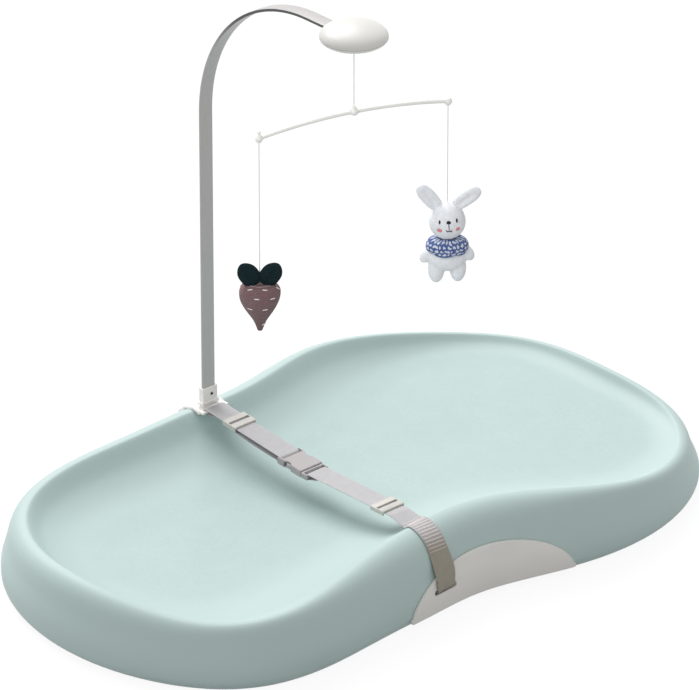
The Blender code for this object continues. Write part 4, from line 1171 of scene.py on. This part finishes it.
def makeSocket():
    # cap, flange and sleeve in one moulding, open at the top for the post
    low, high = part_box("arm_socket")
    shape = socketShape
    halfX, halfY = post["width"] / 2 + belt["gap"], post["thickness"] / 2 + belt["gap"]
    top, shelf = high.z, high.z - post["cap"]
    cap = boxMesh((-halfX - shape["wall"], -halfY - shape["wall"], shelf - shape["lap"]),
                  (halfX + shape["wall"], halfY + shape["wall"], top), shape["edge"], shape["edgeSteps"])
    piece = addPiece("postSocket", cap, socketPlastic)
    flange = boxMesh((-halfX - shape["flangeWallX"], -halfY - shape["flangeWallY"], shelf - post["flange"]),
                     (halfX + shape["flangeWallX"], halfY + shape["flangeWallY"], shelf),
                     shape["edge"], shape["edgeSteps"])
    carve(piece, flange, "UNION")
    sleeve = boxMesh((-halfX - shape["sleeveWall"], -halfY - shape["sleeveWall"], low.z),
                     (halfX + shape["sleeveWall"], halfY + shape["sleeveWall"], shelf - shape["lap"]),
                     shape["sleeveEdge"])
    carve(piece, sleeve, "UNION")
    carve(piece, boxMesh((-halfX, -halfY, low.z + shape["floor"]), (halfX, halfY, top + shape["cutOver"])))
    screwLow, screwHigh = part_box("arm_screw")
    middle = (screwLow + screwHigh) / 2
    holeRadius = (screwHigh.x - screwLow.x) / 2 + belt["gap"]
    hole = lathe("hole", [(holeRadius, -shape["holeDepth"]), (holeRadius, shape["holeDepth"])], shape["holeSides"])
    hole.transform(Matrix.Rotation(math.pi / 2, 4, "X"))
    carve(piece, moved(hole, (middle.x - belt["x"], -halfY - shape["holeDepth"], middle.z)))
    moved(piece.data, (belt["x"], post["y"], 0))
    piece.data.shade_smooth()
    piece.data.set_sharp_from_angle(angle=math.radians(40))
    return settle(piece, "arm_socket")


def makeScrew():
    # small dark screw with a hexagon in its head
    low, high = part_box("arm_screw")
    middle = (low + high) / 2
    radius, length = (high.x - low.x) / 2, high.y - low.y
    profile = [(0, 0), (radius, 0), (radius, length * 0.75), (radius * 0.72, length)]
    profile = roundCorners(profile, 0.0004) + [(0, length)]
    mesh = lathe("screw", profile, 36)
    mesh.transform(Matrix.Rotation(math.pi / 2, 4, "X"))
    piece = addPiece("postScrew", moved(mesh, (middle.x, high.y, middle.z)), darkSteel)
    hexagon = lathe("hexagon", [(radius * 0.45, length * 0.45), (radius * 0.45, length * 1.4)], 6)
    hexagon.transform(Matrix.Rotation(math.pi / 2, 4, "X"))
    carve(piece, moved(hexagon, (middle.x, high.y, middle.z)))
    return settle(piece, "arm_screw")


def makeStrapPin():
    half, radius = belt["pinLength"] / 2, belt["pinRadius"]
    profile = [(0, -half)] + roundCorners([(radius * 0.8, -half), (radius, -half + 0.0005),
                                           (radius, half - 0.0005), (radius * 0.8, half)], 0.0004) + [(0, half)]
    mesh = lathe("strapPin", profile, 32)
    mesh.transform(Matrix.Rotation(math.pi / 2, 4, "Y"))
    place = (belt["x"], wallY(belt["x"], -1) + belt["pinInset"], pinHeight)
    return settle(addPiece("strapPin", moved(mesh, place, wallHeading(belt["x"], -1)), steel), "strap_pin_front")


makeSocket()
makeScrew()
makeStrapPin()


# Arm: one strip, bowed over from the post to the pod
def makeArm():
    low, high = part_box("arm_bar")
    base = bpy.data.meshes.new("armPath")
    corner = (belt["x"], post["y"], post["nose"])
    base.from_pydata([(belt["x"], post["y"], low.z), corner, (belt["x"], low.y, post["nose"])], [(0, 1), (1, 2)], [])
    piece = grow("armStrip", base, bowedStrip, {
        "Width": post["width"], "Thickness": post["thickness"], "Edge round": post["edge"],
        "Bend radius": post["bendRadius"], "Bend steps": 72, "Material": brushed})
    piece.data.set_sharp_from_angle(angle=math.radians(35))
    return settle(piece, "arm_bar")


makeArm()

# Pod: two domed shells with a fine seam, round the clamp and the swivel
pod = {"radius": 0.0339, "top": 0.0140, "bottom": 0.0095, "wall": 0.0018, "hole": 0.0015, "seam": 0.0004}
podPlace = Vector((*mobile["swivel"], post["nose"]))


def dome(radius, height, steps, last):
    points = []
    for i in range(steps):
        angle = math.pi / 2 * i / steps
        points.append((radius * math.cos(angle), height * math.sin(angle)))
    points = [point for point in points if point[0] > last * 1.2]
    return points + [(last, height)]


def makePodShell(name, node, height, facing):
    last = pod["hole"] + 2 * belt["gap"] if facing < 0 else 0.0
    outer = dome(pod["radius"], height, 40, last)
    outer = [(pod["radius"] - pod["seam"], 0.0), (pod["radius"] - pod["seam"] * 0.3, pod["seam"] * 0.3)] + outer[2:]
    inner = dome(pod["radius"] - pod["wall"], height - pod["wall"], 30, last)
    profile = [(r, facing * (belt["gap"] / 2 + h)) for r, h in inner[::-1] + outer]
    bm = bmesh.new()
    bm.from_mesh(lathe(name, profile, 144))
    if facing < 0:
        # the two end discs go, and the hole's wall joins the inner and the outer skin
        discs = [face for face in bm.faces if len(face.verts) > 4]
        bmesh.ops.delete(bm, geom=discs, context="FACES_ONLY")
        rims = [edge for edge in bm.edges if edge.is_boundary]
        bmesh.ops.bridge_loops(bm, edges=rims)
    piece = addPiece(name, moved(meshFrom(bm, name, 45), podPlace), podPlastic)
    halfX, halfZ = post["width"] / 2 + belt["gap"], post["thickness"] / 2 + belt["gap"]
    carve(piece, moved(boxMesh((-halfX, 0, -halfZ), (halfX, pod["radius"] + 0.004, halfZ)), podPlace))
    piece.data.shade_smooth()
    piece.data.set_sharp_from_angle(angle=math.radians(45))
    return settle(piece, node)


makePodShell("podTop", "pod_top_shell", pod["top"], 1)
makePodShell("podBottom", "pod_bottom_shell", pod["bottom"], -1)


def makeSwivel():
    low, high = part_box("swivel_pin")
    base = low.z - podPlace.z
    foot, top = -pod["bottom"] - 2 * belt["gap"], 0.0051
    profile = [(0, base)] + roundCorners([(0.0010, base), (0.0025, base + 0.0006), (0.0025, foot), (0.0015, foot),
                                          (0.0015, top), (0.0032, top), (0.0032, top + 0.0014)], 0.0003)
    profile += [(0, top + 0.0014)]
    return turned("swivel", "swivel_pin", profile, podPlace, whitePlastic)


makeSwivel()
print("arm and pod made")


# Mobile's bar with its knob, caps and bead
def barHeightAt(x):
    return -mobile["drop"] * (x / mobile["halfBar"]) ** 2


def barMesh(half, radius, sides, steps):
    rings = []
    for i in range(steps + 1):
        x = half * (2 * i / steps - 1)
        slope = math.atan(-2 * mobile["drop"] * x / mobile["halfBar"] ** 2)
        ring = []
        for j in range(sides):
            angle = 2 * math.pi * j / sides
            up = radius * math.sin(angle)
            ring.append((x - up * math.sin(slope), radius * math.cos(angle), barHeightAt(x) + up * math.cos(slope)))
        rings.append(ring)
    return loft("bar", rings)


barPlace = Vector((*mobile["swivel"], mobile["barHeight"]))
crossbar = addPiece("mobileBar",
                    moved(barMesh(mobile["halfBar"] - belt["gap"], 0.0020, 28, 96), barPlace, mobile["heading"]), whitePlastic)
settle(crossbar, "crossbar")
knobProfile = [(0, -0.0034)] + roundCorners([(0.0022, -0.0034), (0.0042, -0.0022), (0.0048, 0.0), (0.0046, 0.0016),
                                             (0.0030, 0.0032), (0.0019, 0.0050),
                                             (0.0012, 0.0064)], 0.0012) + [(0, 0.0064)]
knob = turned("knob", None, knobProfile, barPlace, whitePlastic)
bore = moved(barMesh(mobile["halfBar"], 0.0023, 24, 48), barPlace, mobile["heading"])
settle(carve(knob, bore), "centre_knob")
for name, node, side, barrel in (("capLeft", "bar_cap_left", -1, 0.0030), ("capRight", "bar_cap_right", 1, 0.0032)):
    place = Vector((side * mobile["halfBar"], 0, barHeightAt(mobile["halfBar"])))
    place = barPlace + Matrix.Rotation(mobile["heading"], 3, "Z") @ place
    capProfile = [(0, -0.0037)] + roundCorners([(0.0024, -0.0037), (barrel, -0.0028),
                                                (0.0041, -0.0006), (0.0041, 0.0006),
                                                (barrel, 0.0028), (0.0024, 0.0037)], 0.0012) + [(0, 0.0037)]
    cap = carve(turned(name, None, capProfile, place, whitePlastic), bore.copy())
    cap.data.set_sharp_from_angle(angle=math.radians(40))
    settle(cap, node)
low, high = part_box("left_bead")
beadMiddle, beadRadius = (low + high) / 2, (high.z - low.z) / 2
beadProfile = []
for i in range(21):
    angle = math.pi * (i / 20 - 0.5)
    beadProfile.append((beadRadius * math.cos(angle) if 0 < i < 20 else 0.0,
                        beadRadius * math.sin(angle) * (1.0 if i < 17 else 0.98)))
turned("bead", "left_bead", beadProfile, beadMiddle, whitePlastic, 36)
print("bar made")

# Carrot: a flattened stuffed heart with stitches and two leaves
carrot = {
    "heading": math.radians(-40), "top": 0.3388, "length": 0.0516, "radius": 0.0203, "depthShare": 0.72,
    "widths": [0.10, 0.13, 0.20, 0.36, 0.66, 0.91, 0.99, 1.00, 0.94, 0.80, 0.50, 0.16],
    "heights": [0.00, 0.02, 0.10, 0.24, 0.42, 0.61, 0.74, 0.84, 0.92, 0.97, 0.995, 1.00],
    "stitches": [(250, 289.8), (265, 290.2), (278, 288.3), (256.8, 299.5), (272.8, 298.8), (250, 309.2),
                 (265.2, 310), (270, 318), (264, 324)],
    "stitchLength": 0.0052, "stitchRadius": 0.00062}
carrotMiddle = (leftEnd.x, leftEnd.y, carrot["top"] - carrot["length"] / 2)
carrotPlace = Vector((leftEnd.x, leftEnd.y, carrot["top"]))
mauveKnit = makeKnit("mauveKnit", carrotMiddle, carrot["heading"],
                     {"around": 64, "row": 0.0014, "speck": 900, "depth": 0.0004, "sheen": 0.12, "shine": 0.5},
                     colour(84, 62, 67), colour(142, 112, 114))
leafMiddle = (leftEnd.x, leftEnd.y, carrot["top"] + 0.011)
greenKnit = makeKnit("greenKnit", leafMiddle, carrot["heading"],
                     {"around": 40, "row": 0.0015, "speck": 700, "depth": 0.0005, "sheen": 0.0, "shine": 0.2},
                     colour(3, 13, 17), colour(20, 44, 50))
creamYarn = makeVelour("creamYarn", colour(246, 240, 236), colour(222, 214, 210), 0.00015)
seamYarn = makeVelour("seamYarn", colour(186, 164, 166), colour(160, 138, 140), 0.00015)


def makeCarrot():
    steps, sides = 60, 84
    curve = smoothCurve(range(len(carrot["widths"])), carrot["widths"])
    rise = smoothCurve(range(len(carrot["heights"])), carrot["heights"])
    profile = [(0.0, -carrot["length"])]
    for i in range(steps + 1):
        at = (len(carrot["widths"]) - 1) * i / steps
        profile.append((carrot["radius"] * curve(at), carrot["length"] * (min(1.0, max(0.0, rise(at))) - 1)))
    profile.append((0.0, 0.0))
    mesh = lathe("carrot", profile, sides, carrot["depthShare"], 80)
    lumps = random.Random(5)
    waves = [(lumps.uniform(90, 210), lumps.uniform(0, 6.3), lumps.uniform(0, 6.3)) for _ in range(6)]
    for vert in mesh.vertices:
        angle = math.atan2(vert.co.y, vert.co.x)
        push = sum(math.sin(rate * vert.co.z + phase + 2 * math.sin(angle + lead)) for rate, phase, lead in waves)
        vert.co.x *= 1 + 0.0035 * push
        vert.co.y *= 1 + 0.0035 * push
    piece = addPiece("carrotBody", moved(mesh, carrotPlace, carrot["heading"]), mauveKnit)
    settle(piece, "carrot_body")
    return piece


carrotBody = makeCarrot()
carrotSurface = treeOf(carrotBody.data)


def makeStitches():
    # running stitches in cream yarn, on the face that the photograph shows and again on the back
    places, along, up = [], [], []
    for px, py in carrot["stitches"]:
        start, ray = sight(px, py)
        hit, normal = carrotSurface.ray_cast(start, ray)[:2]
        if hit is None:
            continue
        side = viewRight - normal * viewRight.dot(normal)
        for turn in (Matrix.Identity(3), Matrix.Rotation(math.pi, 3, "Z")):
            spot = turn @ (hit - carrotPlace) + carrotPlace
            places.append(spot)
            along.append(turn @ side)
            up.append(turn @ normal)
    base = pointMesh("stitchPlaces", places, along=along, up=up)
    piece = grow("carrotStitches", base, barRows, {
        "Length": carrot["stitchLength"], "Radius": carrot["stitchRadius"],
        "Flatness": 0.7, "Sides": 8, "Material": creamYarn})
    piece.data.shade_smooth()
    return settle(piece, body="carrot", slot="thread")


def makeSeam():
    # pale yarn round the top, where the carrot is sewn shut
    rings = []
    for i in range(97):
        angle = 2 * math.pi * i / 96
        out = Vector((math.cos(angle), math.sin(angle), 0))
        hit, normal = carrotSurface.ray_cast(carrotPlace + out * 0.05 + Vector((0, 0, -0.0004)), -out)[:2]
        side = Vector((-out.y, out.x, 0)).cross(normal).normalized()
        ring = []
        for k in range(8):
            turn = 2 * math.pi * k / 8
            ring.append(hit + normal * (0.0001 + 0.00035 * math.sin(turn)) + side * (0.00035 * math.cos(turn)))
        rings.append(ring)
    bm = bmesh.new()
    rows = [[bm.verts.new(point) for point in ring] for ring in rings[:-1]]
    for low, high in zip(rows, rows[1:] + rows[:1]):
        for k in range(8):
            bm.faces.new((low[k], low[(k + 1) % 8], high[(k + 1) % 8], high[k]))
    return settle(addPiece("carrotSeam", meshFrom(bm, "carrotSeam", 80), seamYarn), body="carrot", slot="thread")


makeStitches()
makeSeam()
leaf = {"half": (0.0104, 0.0048, 0.0134), "aside": 0.0110, "ahead": 0.0020, "lift": 0.0108, "tilt": math.radians(34)}


def makeLeaf(name, node, side):
    # upright oval with a pinched tip and a soft crease down its middle
    steps, sides = 40, 56
    bm = bmesh.new()
    bmesh.ops.create_uvsphere(bm, u_segments=sides, v_segments=steps, radius=1)
    for vert in bm.verts:
        x, y, z = vert.co
        pinch = 1 - 0.18 * max(0.0, z) ** 3
        crease = 1 - 0.30 * math.exp(-(x / 0.20) ** 2) * (1 - z * z)
        if z < 0:
            full = math.hypot(x, z) / (abs(x) ** 2.9 + abs(z) ** 2.9) ** (1 / 2.9)
            x, z = x * full, z * full
        vert.co = (x * leaf["half"][0] * pinch, y * leaf["half"][1] * crease, z * leaf["half"][2])
    mesh = meshFrom(bm, name, 80)
    mesh.transform(Matrix.Translation((side * leaf["aside"], -leaf["ahead"], leaf["lift"]))
                   @ Matrix.Rotation(side * leaf["tilt"], 4, "Y"))
    piece = addPiece(name, moved(mesh, carrotPlace, carrot["heading"]), greenKnit)
    carve(piece, carrotBody.data.copy())
    carve(piece, moved(lathe("hole", [(0.0009, -0.01), (0.0009, 0.04)], 24), carrotPlace))
    reach = 0.04
    ends = sorted((side * 0.0001, -side * reach))
    carve(piece, moved(boxMesh((ends[0], -reach, -reach), (ends[1], reach, reach)), carrotPlace, carrot["heading"]))
    piece.data.shade_smooth()
    piece.data.set_sharp_from_angle(angle=math.radians(60))
    settle(piece, node)
    return piece


makeLeaf("leafLeft", "carrot_leaf_left", -1)
makeLeaf("leafRight", "carrot_leaf_right", 1)
print("carrot made")

# Bunny: stuffed velour, each place aside and above the feet
bunny = {
    "heading": math.radians(-36), "foot": 0.2980, "headHalf": (0.0181, 0.0168, 0.0192), "headUp": 0.0680,
    "headTaper": -0.08,
    "bodyHalf": (0.0198, 0.0135, 0.0176), "bodyUp": 0.0306, "bodyTaper": -0.12,
    "collarHalf": (0.0214, 0.0174, 0.0069), "collarUp": 0.0429,
    "earHalf": (0.0077, 0.0038, 0.0176), "earTaper": 0.06,
    "ears": {-1: (0.0176, 0.0930, math.radians(39)), 1: (0.0180, 0.0903, math.radians(55))},
    "armHalf": (0.0122, 0.0068, 0.0068), "armPlace": (0.0182, 0.0328), "armTilt": math.radians(50),
    "legHalf": (0.0084, 0.0086, 0.0152), "legPlace": (0.0108, 0.0152)}
bunnyPlace = Vector((rightEnd.x, rightEnd.y, bunny["foot"]))
velour = makeVelour("paleVelour", colour(246, 248, 251), colour(226, 230, 236))
blackYarn = makeVelour("blackYarn", colour(34, 32, 34), colour(18, 17, 19), 0.0001)
pinkFelt = makeVelour("pinkFelt", colour(226, 150, 156), colour(212, 132, 140), 0.00012)
dotted = makeDotted((bunnyPlace.x, bunnyPlace.y, bunny["foot"] + bunny["collarUp"]), bunny["heading"],
                    {"around": 22, "pitch": 0.0038, "hem": -0.0074})


def eggMesh(half, taper=0.0, grow=0.0, sides=64, steps=40):
    bm = bmesh.new()
    bmesh.ops.create_uvsphere(bm, u_segments=sides, v_segments=steps, radius=1)
    for vert in bm.verts:
        wide = 1 + taper * vert.co.z
        vert.co = (vert.co.x * wide * (half[0] + grow), vert.co.y * wide * (half[1] + grow),
                   vert.co.z * (half[2] + grow))
    return meshFrom(bm, "egg", 80)


def stuffed(half, taper, aside, up, tilt=0.0, grow=0.0):
    mesh = eggMesh(half, taper, grow)
    mesh.transform(Matrix.Translation((aside, 0, up)) @ Matrix.Rotation(tilt, 4, "Y"))
    return moved(mesh, bunnyPlace, bunny["heading"])


def remeshed(piece, voxel, relax):
    modifier = piece.modifiers.new("skin", "REMESH")
    modifier.mode = "VOXEL"
    modifier.voxel_size = voxel
    modifier.use_smooth_shade = True
    frozen(piece)
    bm = bmesh.new()
    bm.from_mesh(piece.data)
    for _ in range(relax):
        bmesh.ops.smooth_vert(bm, verts=bm.verts, factor=0.5, use_axis_x=True, use_axis_y=True, use_axis_z=True)
    bm.to_mesh(piece.data)
    bm.free()
    piece.data.shade_smooth()
    return piece


def makeBunnyBody():
    shapes = [stuffed(bunny["bodyHalf"], bunny["bodyTaper"], 0, bunny["bodyUp"])]
    for side in (-1, 1):
        shapes.append(stuffed(bunny["armHalf"], 0, side * bunny["armPlace"][0], bunny["armPlace"][1],
                              side * bunny["armTilt"]))
        shapes.append(stuffed(bunny["legHalf"], 0, side * bunny["legPlace"][0], bunny["legPlace"][1]))
    piece = addPiece("bunnyBody", joined("bunnyBody", shapes), velour)
    remeshed(piece, 0.0008, 14)
    piece.data.materials.clear()
    piece.data.materials.append(velour)
    settle(piece, "bunny_body", "bunny_arm_left", "bunny_arm_right", "bunny_leg_left", "bunny_leg_right")
    return piece


bunnyBody = makeBunnyBody()


def makeHead():
    mesh = stuffed(bunny["headHalf"], bunny["headTaper"], 0, bunny["headUp"])
    piece = addPiece("bunnyHead", mesh, velour)
    settle(piece, "bunny_head")
    return piece


bunnyHead = makeHead()
headSurface = treeOf(bunnyHead.data)


def makeEar(name, node, side):
    bm = bmesh.new()
    bmesh.ops.create_uvsphere(bm, u_segments=56, v_segments=40, radius=1)
    half, taper = bunny["earHalf"], bunny["earTaper"]
    aside, up, tilt = bunny["ears"][side]
    for vert in bm.verts:
        x, y, z = vert.co
        full = max(math.hypot(x, z), 1e-9) / max((abs(x) ** 2.5 + abs(z) ** 2.5) ** 0.4, 1e-9)
        x, z = x * full, z * full
        wide = 1 + taper * z
        hollow = 0.55 * math.exp(-(x / 0.45) ** 2 - (z / 0.62) ** 4) if y < 0 else 0.0
        vert.co = (x * wide * half[0], y * wide * half[1] * (1 - hollow), z * half[2])
    mesh = meshFrom(bm, name, 80)
    mesh.transform(Matrix.Translation((side * aside, 0, up)) @ Matrix.Rotation(side * tilt, 4, "Y"))
    piece = addPiece(name, moved(mesh, bunnyPlace, bunny["heading"]), velour)
    settle(piece, node)
    return piece


makeEar("earLeft", "bunny_ear_left", -1)
makeEar("earRight", "bunny_ear_right", 1)


def makeCollar():
    # knitted cowl with a scalloped lower edge
    around, rows = 120, 22
    half, up = bunny["collarHalf"], bunny["collarUp"]
    bm = bmesh.new()
    outer, inner = [], []
    for j in range(rows + 1):
        share = j / rows
        ringOut, ringIn = [], []
        # widest a third of the way up, and drawn in round the neck at its top
        lift = (share - 0.35) / 0.65
        swell = 0.5 + 0.5 * (1 - lift ** 2) ** 0.6 if share > 0.35 else 1 - 0.10 * ((0.35 - share) / 0.35) ** 2
        for i in range(around):
            angle = 2 * math.pi * i / around
            scallop = 0.0022 * abs(math.sin(5 * angle / 2)) * (1 - share) ** 2
            z = -half[2] + 2 * half[2] * share - scallop
            for ring, thick in ((ringOut, 0.0), (ringIn, 0.0016)):
                ring.append(bm.verts.new(((half[0] * swell - thick) * math.cos(angle),
                                         (half[1] * swell - thick) * math.sin(angle), z)))
        outer.append(ringOut)
        inner.append(ringIn)
    for grid in (outer, inner):
        for a, b in zip(grid, grid[1:]):
            for i in range(around):
                j = (i + 1) % around
                bm.faces.new((a[i], a[j], b[j], b[i]))
    for j in (0, -1):
        for i in range(around):
            k = (i + 1) % around
            bm.faces.new((outer[j][i], outer[j][k], inner[j][k], inner[j][i]))
    mesh = meshFrom(bm, "bunnyCollar", 60)
    mesh.transform(Matrix.Translation((0, 0, up)))
    piece = addPiece("bunnyCollar", moved(mesh, bunnyPlace, bunny["heading"]), dotted)
    settle(piece, "bunny_collar")
    return piece


makeCollar()
face = {
    "eyes": [((439.6, 222.4), 0.0011, 0.0023), ((456.8, 220.6), 0.0011, 0.0023)],
    "nose": ((448.7, 222.8), 0.0024, 0.0018),
    "cheeks": [((439.4, 230.6), 0.0031, 0.0024), ((457.9, 229.0), 0.0027, 0.0022)],
    "mouth": [(448.8, 224.7), (449.3, 230.9)],
    "smile": [(446.1, 230.2), (447.4, 231.9), (449.2, 230.8), (450.9, 231.8), (452.3, 230.0)]}


def patch(px, py, halfWide, halfTall, proud, sides=28, rings=6):
    # raised oval that lies on the head, seen at a pixel
    start, ray = sight(px, py)
    hit, normal = headSurface.ray_cast(start, ray)[:2]
    side = (viewRight - normal * viewRight.dot(normal)).normalized()
    rise = normal.cross(side)
    bm = bmesh.new()
    rows = []
    for j in range(rings + 1):
        share = 1 - j / rings
        row = []
        for i in range(sides if j < rings else 1):
            angle = 2 * math.pi * i / sides
            spot = hit + side * (halfWide * share * math.cos(angle)) + rise * (halfTall * share * math.sin(angle))
            near = headSurface.find_nearest(spot)
            row.append(bm.verts.new(near[0] + near[1]
                                    * (proud * math.sqrt(max(0.0, 1 - share ** 2)) - 0.00005 + 0.0001 * (j > 0))))
        rows.append(row)
    under = []
    for i in range(sides):
        under.append(bm.verts.new(rows[0][i].co - normal * 0.0004))
    for low, high in zip([under] + rows, rows):
        for i in range(sides):
            j = (i + 1) % sides
            corners = [low[i], low[j], high[j % len(high)], high[i % len(high)]]
            bm.faces.new(list(dict.fromkeys(corners)))
    bm.faces.new(under[::-1])
    return meshFrom(bm, "patch", 70)


def yarnLine(pixels, radius):
    # thread that lies on the head through a few pixels
    spots = []
    for a, b in zip(pixels, pixels[1:]):
        for i in range(6):
            t = i / 6
            start, ray = sight(a[0] + (b[0] - a[0]) * t, a[1] + (b[1] - a[1]) * t)
            hit, normal = headSurface.ray_cast(start, ray)[:2]
            spots.append((hit + normal * radius * 0.4, normal))
    rings = []
    for i, (spot, normal) in enumerate(spots):
        ahead = spots[min(i + 1, len(spots) - 1)][0] - spots[max(i - 1, 0)][0]
        side = ahead.cross(normal).normalized()
        size = radius * (0.5 if i in (0, len(spots) - 1) else 1.0)
        rings.append([spot + side * (size * math.cos(2 * math.pi * k / 8)) + normal * (size * math.sin(2 * math.pi * k / 8))
                      for k in range(8)])
    return loft("yarn", rings, creased=70)


def makeFace():
    dark = [patch(*spot, wide, tall, 0.0006) for spot, wide, tall in face["eyes"]]
    dark.append(patch(*face["nose"][0], face["nose"][1], face["nose"][2], 0.0008))
    dark += [yarnLine(face["mouth"], 0.0004), yarnLine(face["smile"], 0.00045)]
    settle(addPiece("bunnyFeatures", joined("bunnyFeatures", dark), blackYarn), body="bunny", slot="dark_screw")
    pink = [patch(*spot, wide, tall, 0.0003) for spot, wide, tall in face["cheeks"]]
    settle(addPiece("bunnyCheeks", joined("bunnyCheeks", pink), pinkFelt), body="bunny", slot="collar_cloth")


makeFace()
print("bunny made")

# Floor, lights and world: plain level, with a white ground behind
def makeFloor():
    bm = bmesh.new()
    bmesh.ops.create_grid(bm, x_segments=1, y_segments=1, size=12)
    mesh = meshFrom(bm, "floor")
    material, net, place = startMaterial("paleFloor")
    path = net.node("ShaderNodeLightPath", {}, {}, "Is Camera Ray")
    seen = path.maths("MAXIMUM", path.out("Is Glossy Ray")).maths("MAXIMUM", path.out("Is Transmission Ray"))
    lit = net.node("ShaderNodeBsdfDiffuse", {}, {"Color": (0.12, 0.12, 0.12, 1)})
    plain = net.node("ShaderNodeBsdfDiffuse", {}, {"Color": (0.56, 0.56, 0.56, 1)})
    glow = net.node("ShaderNodeEmission", {}, {"Color": (1, 1, 1, 1), "Strength": 0.91})
    shown = net.node("ShaderNodeAddShader", {}, {0: lit, 1: glow})
    mixed = net.node("ShaderNodeMixShader", {}, {0: seen, 1: plain, 2: shown})
    net.node("ShaderNodeOutputMaterial", {}, {"Surface": mixed})
    floor = addPiece("floor", mesh, material)
    floor.location.z = -0.0002


def makeWorld():
    world = bpy.data.worlds.new("studio")
    world.use_nodes = True
    world.node_tree.nodes.clear()
    net = Net(world.node_tree)
    path = net.node("ShaderNodeLightPath", {}, {}, "Is Camera Ray")
    seen = path.maths("MAXIMUM", path.out("Is Glossy Ray")).maths("MAXIMUM", path.out("Is Transmission Ray"))
    level = seen * (1 - studio["ambient"]) + studio["ambient"]
    back = net.node("ShaderNodeBackground", {}, {"Color": (1, 1, 1, 1), "Strength": level})
    net.node("ShaderNodeOutputWorld", {}, {"Surface": back})
    bpy.context.scene.world = world


def makeLamp(name, toward, strength, angle, only=None):
    lamp = bpy.data.lights.new(name, "SUN")
    lamp.energy = strength
    lamp.angle = math.radians(angle)
    item = bpy.data.objects.new(name, lamp)
    item.rotation_euler = Vector(toward).to_track_quat("Z", "Y").to_euler()
    bpy.context.scene.collection.objects.link(item)
    if only:
        item.light_linking.receiver_collection = bpy.data.collections.new(name + "Only")
        for piece in bpy.data.objects:
            if piece.name in only:
                item.light_linking.receiver_collection.objects.link(piece)


studio = {"ambient": 0.49, "key": 2.27, "keyFrom": (0.17, 0.645, 0.745), "keyAngle": 44,
          "fill": 1.2, "fillFrom": (-0.734, -0.240, 0.635), "fillAngle": 40}
makeFloor()
makeWorld()
makeLamp("keyLight", studio["keyFrom"], studio["key"], studio["keyAngle"])
# the mobile and the post's foot are brighter in the photograph than the mat's shaded side
makeLamp("mobileFill", studio["fillFrom"], studio["fill"], studio["fillAngle"], (
    "mainThread", "carrotThread", "bunnyThread", "mobileBar", "knob", "capLeft", "capRight", "bead", "carrotBody",
    "carrotStitches", "carrotSeam", "leafLeft", "leafRight", "bunnyBody", "bunnyHead", "earLeft", "earRight",
    "bunnyCollar", "bunnyFeatures", "bunnyCheeks", "postSocket", "bracket", "postScrew"))
bpy.context.scene.view_settings.view_transform = "Standard"
